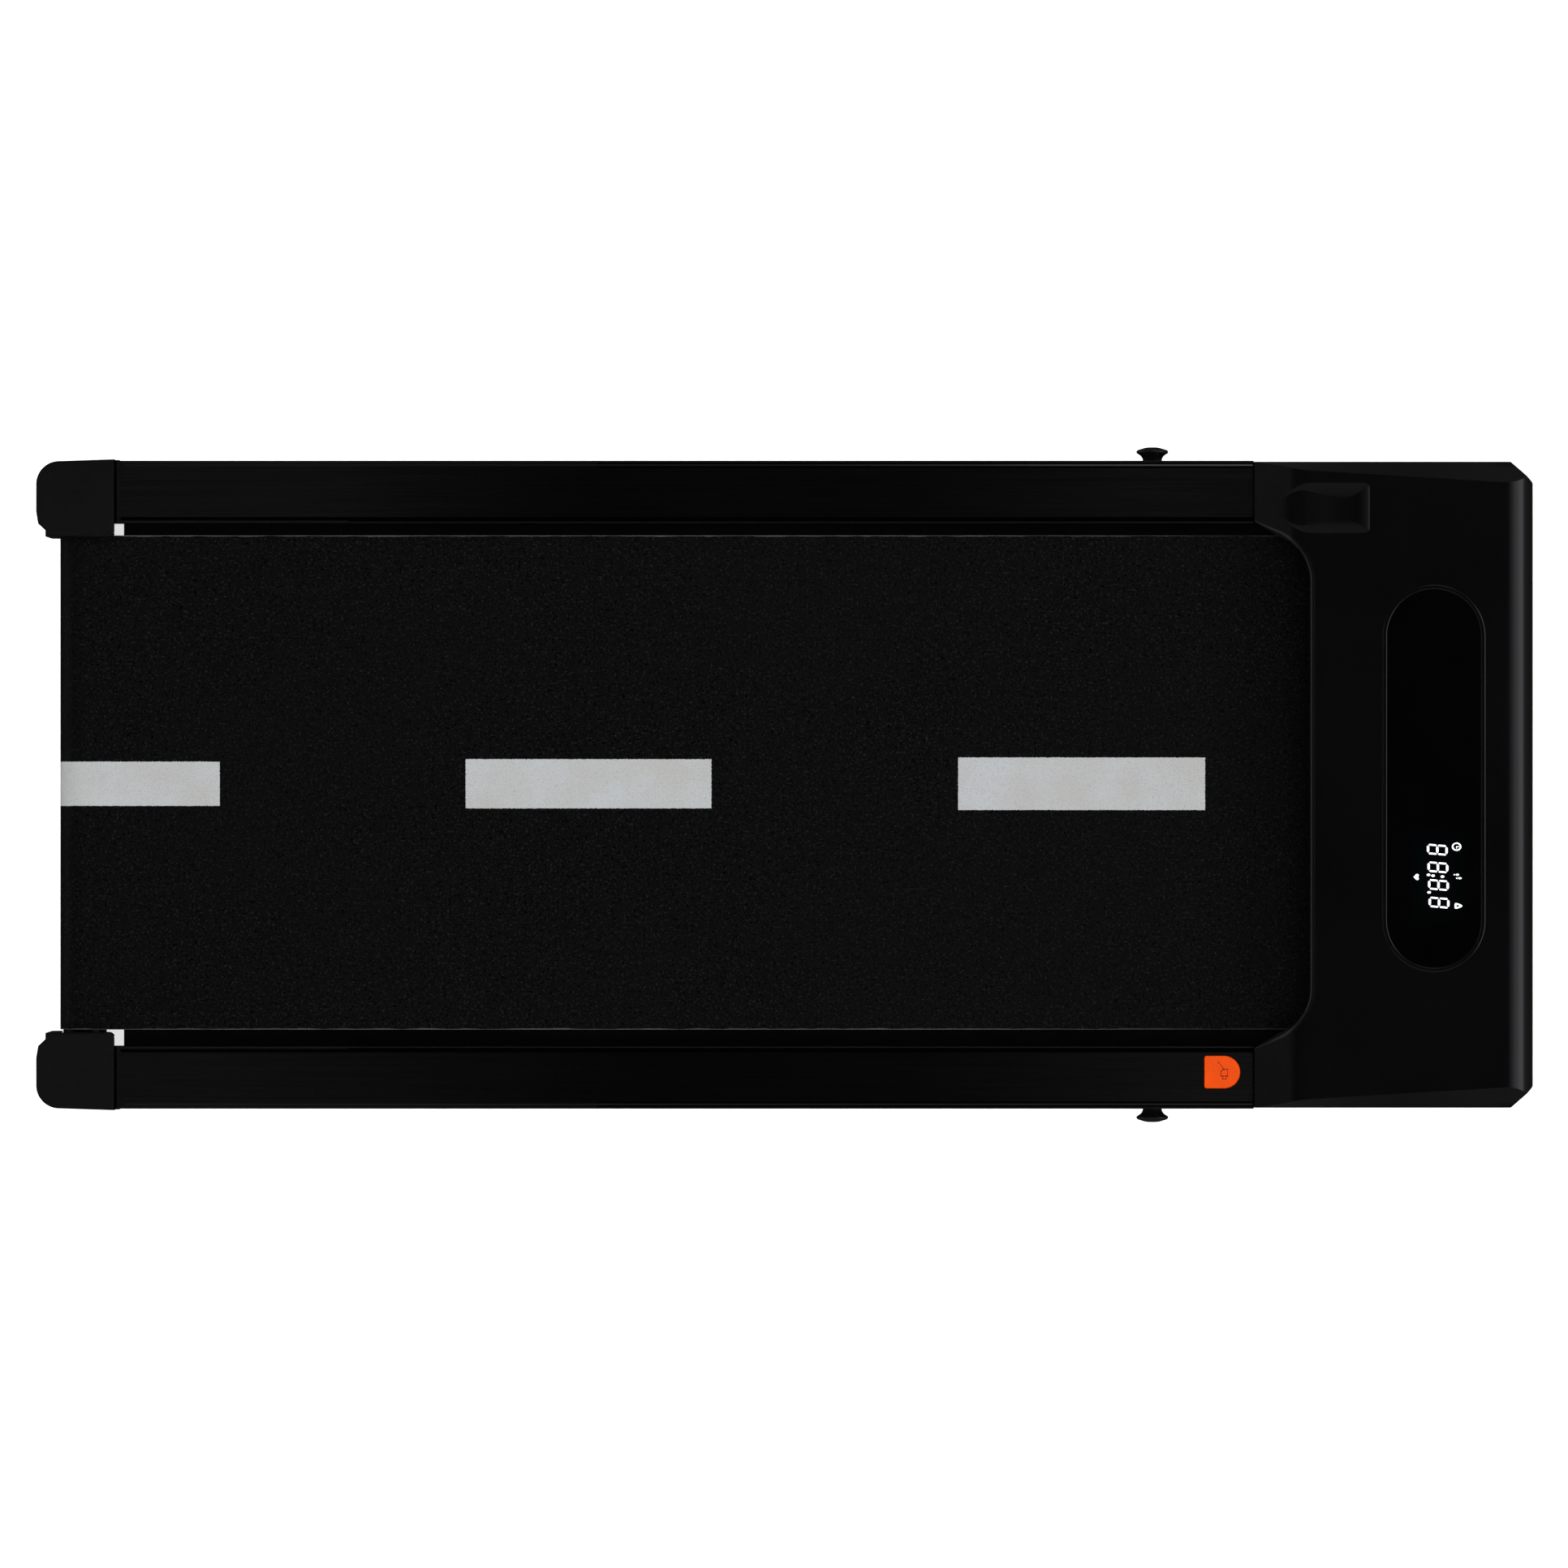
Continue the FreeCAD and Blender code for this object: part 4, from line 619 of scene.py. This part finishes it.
def stroke(x, y, points, thick):
    """A bent line as overlapping plates; points are (right, up) in millimetres from (x, y)."""
    plates = []
    for (u0, v0), (u1, v1) in zip(points, points[1:]):
        length = math.hypot(u1 - u0, v1 - v0)
        du, dv = (u1 - u0) / length * thick / 2, (v1 - v0) / length * thick / 2
        corners = ((u0 - du - dv, v0 - dv + du), (u1 + du - dv, v1 + dv + du),
                   (u1 + du + dv, v1 + dv - du), (u0 - du + dv, v0 - dv - du))
        plates.append([(x + v * MM, y - u * MM) for u, v in corners])
    return plates


def drop(x, y, scale):
    """A drop outline with its point towards +X."""
    return [(x + scale * (3.1 * math.cos(turn) + 0.7 * math.cos(2 * turn)) * MM,
             y + scale * 2.2 * math.sin(turn) * (1 - 0.25 * math.cos(turn)) * MM)
            for turn in (2 * math.pi * k / 24 for k in range(24))]


def heart(x, y, scale):
    """A heart outline with its point towards -X."""
    return [(x + scale * (13 * math.cos(turn) - 5 * math.cos(2 * turn) - 2 * math.cos(3 * turn)
                          - math.cos(4 * turn)) / 16 * MM,
             y + scale * math.sin(turn) ** 3 * MM)
            for turn in (2 * math.pi * (k + 0.5) / 28 for k in range(28))]


def icons():
    """Plain pictograms: a clock, two footprints, a drop and a heart."""
    marks = band(disc(*CLOCK, 2.6, 2.3, 28), disc(*CLOCK, 3.8, 3.3, 28))
    marks += stroke(*CLOCK, ((0, 1.7), (0, 0), (1.2, 0)), 0.6)
    for x, y in FOOTPRINTS:
        marks += [disc(x + 0.0008, y, 1.4, 0.8), disc(x - 0.0016, y, 0.6, 0.55)]
    marks += band(drop(*DROP, 0.40), drop(*DROP, 1.0))
    marks.append(heart(*HEART, 2.5))
    return marks


def display_marks():
    """Glowing digits, the dots beside them and the pictograms, just above the lens."""
    glow = glow_material()
    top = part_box("display_lens")[1].z
    polygons = []
    for index in range(DIGIT_COUNT):
        polygons += digit([foot + index * step for foot, step in zip(DIGIT_FOOT, DIGIT_STEP)])
    for x, y in DIGIT_DOTS:
        polygons.append(disc(x, y, 1.5, 1.0))
    flat_marks("display_digits", polygons, top + MARK_LIFT, glow)
    flat_marks("display_icons", icons(), top + MARK_LIFT, glow)


# ---------------------------------------------------------------- display ring, plug mark, seams

# The bezel's section as (outwards from the lens, up from the hood) in millimetres
RING_PROFILE = ((4.0, -3.0), (4.0, 0.10), (3.85, 0.55), (3.5, 0.85), (3.0, 0.95), (1.2, 0.95),
                (0.75, 0.85), (0.45, 0.60), (0.3, 0.25), (0.25, -3.0))


def stadium_point(place, half_length, radius, turn):
    """A point on a stadium whose long axis is Y, a quarter of the turns on each half end."""
    angle = 2 * math.pi * turn
    shift = half_length - radius
    return (place[0] + radius * math.cos(angle),
            place[1] + radius * math.sin(angle) + (shift if turn < 0.5 else -shift))


def display_ring():
    """The bezel: a flat band with rounded edges round the lens."""
    low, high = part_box("display_lens")
    place = ((low.x + high.x) / 2, (low.y + high.y) / 2)
    half_width, half_length = (high.x - low.x) / 2, (high.y - low.y) / 2
    hood_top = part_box("display_bezel")[1].z - 0.001
    turns = [k / 96 for k in range(49)] + [0.5 + k / 96 + 1e-6 for k in range(49)]
    shape = bmesh.new()
    rows = []
    for out, rise in RING_PROFILE:
        sizes = (half_length + out * MM, half_width + out * MM)
        rows.append([shape.verts.new((*stadium_point(place, *sizes, turn), hood_top + rise * MM))
                     for turn in turns])
    join_rows(shape, rows, closed=True)
    bmesh.ops.recalc_face_normals(shape, faces=shape.faces)
    mesh = finished_mesh(shape, "display_ring")
    ring = add_piece("display_ring", mesh, materials["bezel_plastic"])
    smooth(ring, 60)
    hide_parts("display_bezel")


def plug_mark():
    """A plain oil can in low relief on the plug, spout towards the belt."""
    low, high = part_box("oil_plug")
    x, y = (low.x + high.x) / 2 + 0.0016, (low.y + high.y) / 2
    lines = (((-3.2, 2.6), (-3.2, -2.6), (2.2, -2.6), (2.2, 1.2), (0.4, 2.6), (-3.2, 2.6)),
             ((2.2, 0.2), (6.6, 3.4)), ((-3.2, 1.2), (-5.4, 1.2), (-5.4, -1.4), (-3.2, -1.4)))
    marks = [plate for line in lines for plate in stroke(x, y, [(-u, -v) for u, v in line], 0.75)]
    marks.append(disc(x - 0.0046, y + 0.0076, 0.9, 0.7))
    flat_marks("plug_mark", marks, high.z - MARK_LIFT, plug_mark_material(),
               "oil_plug", thick=0.14)


def plug_mark_material():
    paint = Paint("plug_mark", (0.36, 0.022, 0.0004), 0.5, 0.0, 0.18)
    return paint.finish_surface(grain=(900, 0.08), mottle=(90, 0.06), bump=(1500, 0.2, 0.04))


def strip(name, low, high, material, slot, rounding=0.3):
    """A long thin bar with rounded top edges."""
    shape = bmesh.new()
    bmesh.ops.create_cube(shape, size=1.0)
    for vert in shape.verts:
        vert.co = [low[k] if vert.co[k] < 0 else high[k] for k in range(3)]
    top = [edge for edge in shape.edges if all(vert.co.z == high[2] for vert in edge.verts)]
    bmesh.ops.bevel(shape, geom=top, offset=rounding * MM, segments=3, affect="EDGES", profile=0.5)
    return add_piece(name, finished_mesh(shape, name), material)


# Where the painted-shade bars in the grooves beside the ridge and the lip begin along the rail
RIDGE_SHADE_REAR = -0.15
LIP_SHADE_REAR = -0.35
# Display brightness of the painted highlight on the lips and ridges; the left ridge is painted
# brighter than the right one, as if lit from the left.
LIP_HIGHLIGHT = 16
RIDGE_HIGHLIGHT_LEFT = 52
RIDGE_HIGHLIGHT_RIGHT = 18


def rail_strips(low, high, inner, outer):
    """Each strip's reach along, across and up, its slot and its rounding in millimetres."""
    top, rear, front = high.z, low.x, high.x
    return {
        "rail_ridge": ((rear + 0.004, front), (outer - 0.0047, outer - 0.0031),
                       (top - 0.0014, top - 0.0001), "rail_aluminium", 0.5),
        # Painted shade: near-black bars in the grooves on both sides of the ridge.
        "ridge_shade_outer": ((RIDGE_SHADE_REAR, front), (outer - 0.0031, outer - 0.0017),
                            (top - 0.003, top - 0.0006), "clip_plastic", 0.2),
        "ridge_shade_inner": ((RIDGE_SHADE_REAR, front), (outer - 0.0059, outer - 0.0047),
                            (top - 0.001, top + 0.0001), "clip_plastic", 0.05),
        # Painted shade: a near-black bar in the groove beside the lip.
        "lip_shade": ((LIP_SHADE_REAR, front), (inner + 0.0009, inner + 0.0021),
                    (top - 0.001, top + 0.0001), "clip_plastic", 0.05),
        "rail_lip": ((rear + 0.004, front), (inner, inner + 0.0009),
                     (top - 0.0012, top + 0.0002), "rail_aluminium", 0.42),
        # Painted shade: a near-black bar in the rail's channel.
        "channel_shade": ((rear + 0.001, front), (inner + 0.0020, inner + 0.0047),
                         (top - 0.0017, top - 0.0011), "clip_plastic", 0.1),
        "collar_cover": ((rear - 0.0024, rear + 0.0003), (inner + 0.0001, outer + 0.0002),
                         (top - 0.001, top + 0.0009), "rail_aluminium", 0.2),
        # Painted shade: this bar and the last are near-black bars in the seams at the hood end and
        # the cap end.
        "hood_seam_shade": ((front - 0.0009, front + 0.0010), (inner + 0.0002, outer - 0.0012),
                      (top - 0.003, top + 0.0011), "clip_plastic", 0.1),
        "cap_seam_shade": ((rear - 0.0048, rear - 0.0023), (inner - 0.0002, outer + 0.0004),
                     (top - 0.003, top + 0.0012), "clip_plastic", 0.1)}


def rail_trim():
    """Ridges and lips along each rail, and near-black bars laid as painted shade in the grooves
    beside them, in the rail's channel and in the seams at its two ends.
    """
    lip_paint = rail_edge_material("rail_lip", LIP_HIGHLIGHT)
    for side, sign, level in (("left", 1, RIDGE_HIGHLIGHT_LEFT), ("right", -1, RIDGE_HIGHLIGHT_RIGHT)):
        ridge_paint = rail_edge_material(f"rail_ridge_{side}", level)
        low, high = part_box(f"side_rail_{side}")
        inner, outer = sorted((abs(low.y), abs(high.y)))
        strips = rail_strips(low, high, inner, outer)
        for name, (along, across, up, slot, rounding) in strips.items():
            across = sorted(sign * value for value in across)
            corners = ((along[0], across[0], up[0]), (along[1], across[1], up[1]))
            material = {"rail_ridge": ridge_paint, "rail_lip": lip_paint}.get(name, materials[slot])
            strip(f"{name}_{side}", *corners, material, slot, rounding)


# The lip's section as (outwards, up) in millimetres from the mouth's edge
LIP_PROFILE = ((-0.4, -0.3), (0.1, 0.02), (1.0, -0.45), (2.9, -1.75), (3.25, -2.3), (3.6, -2.25),
               (3.95, -1.85), (4.35, -1.95), (4.55, -2.5), (4.3, -3.4), (0.3, -4.6), (-0.4, -4.6))
LIP_START = 0.25
LIP_GROWTH = 0.022


def mouth_rim():
    """Points along the top edge of the hood's mouth, from the left rail round to the right one."""
    rail_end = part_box("side_rail_left")[1].x
    shape = bmesh.new()
    shape.from_mesh(nodes["hood"].data)
    bmesh.ops.remove_doubles(shape, verts=shape.verts, dist=WELD_DISTANCE)
    rim = set()
    for edge in shape.edges:
        if len(edge.link_faces) == 2:
            wall, flat = sorted(edge.link_faces, key=lambda face: face.normal.z)
            middle = (edge.verts[0].co + edge.verts[1].co) / 2
            upright = abs(wall.normal.z) < 0.05 and wall.normal.x < -0.1 and flat.normal.z > 0.6
            if upright and rail_end + 0.0005 < middle.x < rail_end + 0.05:
                rim.update(tuple(round(value, 6) for value in vert.co) for vert in edge.verts)
    shape.free()
    return [Vector(point) for point in sorted(rim, key=lambda point: -point[1])]


def mouth_lip():
    """A chamfered lip with a fine bead round the hood's mouth, which fades out at the rails."""
    rim = mouth_rim()
    shape = bmesh.new()
    rows = []
    for index, point in enumerate(rim):
        ahead = (rim[min(index + 1, len(rim) - 1)] - rim[max(index - 1, 0)]).to_2d().normalized()
        out = Vector((ahead.y, -ahead.x))
        grown = MM * min(1.0, LIP_START + (point.x - rim[0].x) / LIP_GROWTH)
        rows.append([shape.verts.new((*(point.to_2d() + out * side * grown), point.z + up * grown))
                     for side, up in LIP_PROFILE])
    join_rows(shape, rows, closed=False)
    shape.faces.new(rows[0])
    shape.faces.new(rows[-1])
    bmesh.ops.recalc_face_normals(shape, faces=shape.faces)
    mesh = finished_mesh(shape, "mouth_lip")
    smooth(add_piece("mouth_lip", mesh, materials["hood_plastic"]), 40)


# ---------------------------------------------------------------- build

add_camera()
add_studio()
materials = paint_nodes()
round_the_edges()
display_ring()
display_marks()
plug_mark()
rail_trim()
mouth_lip()
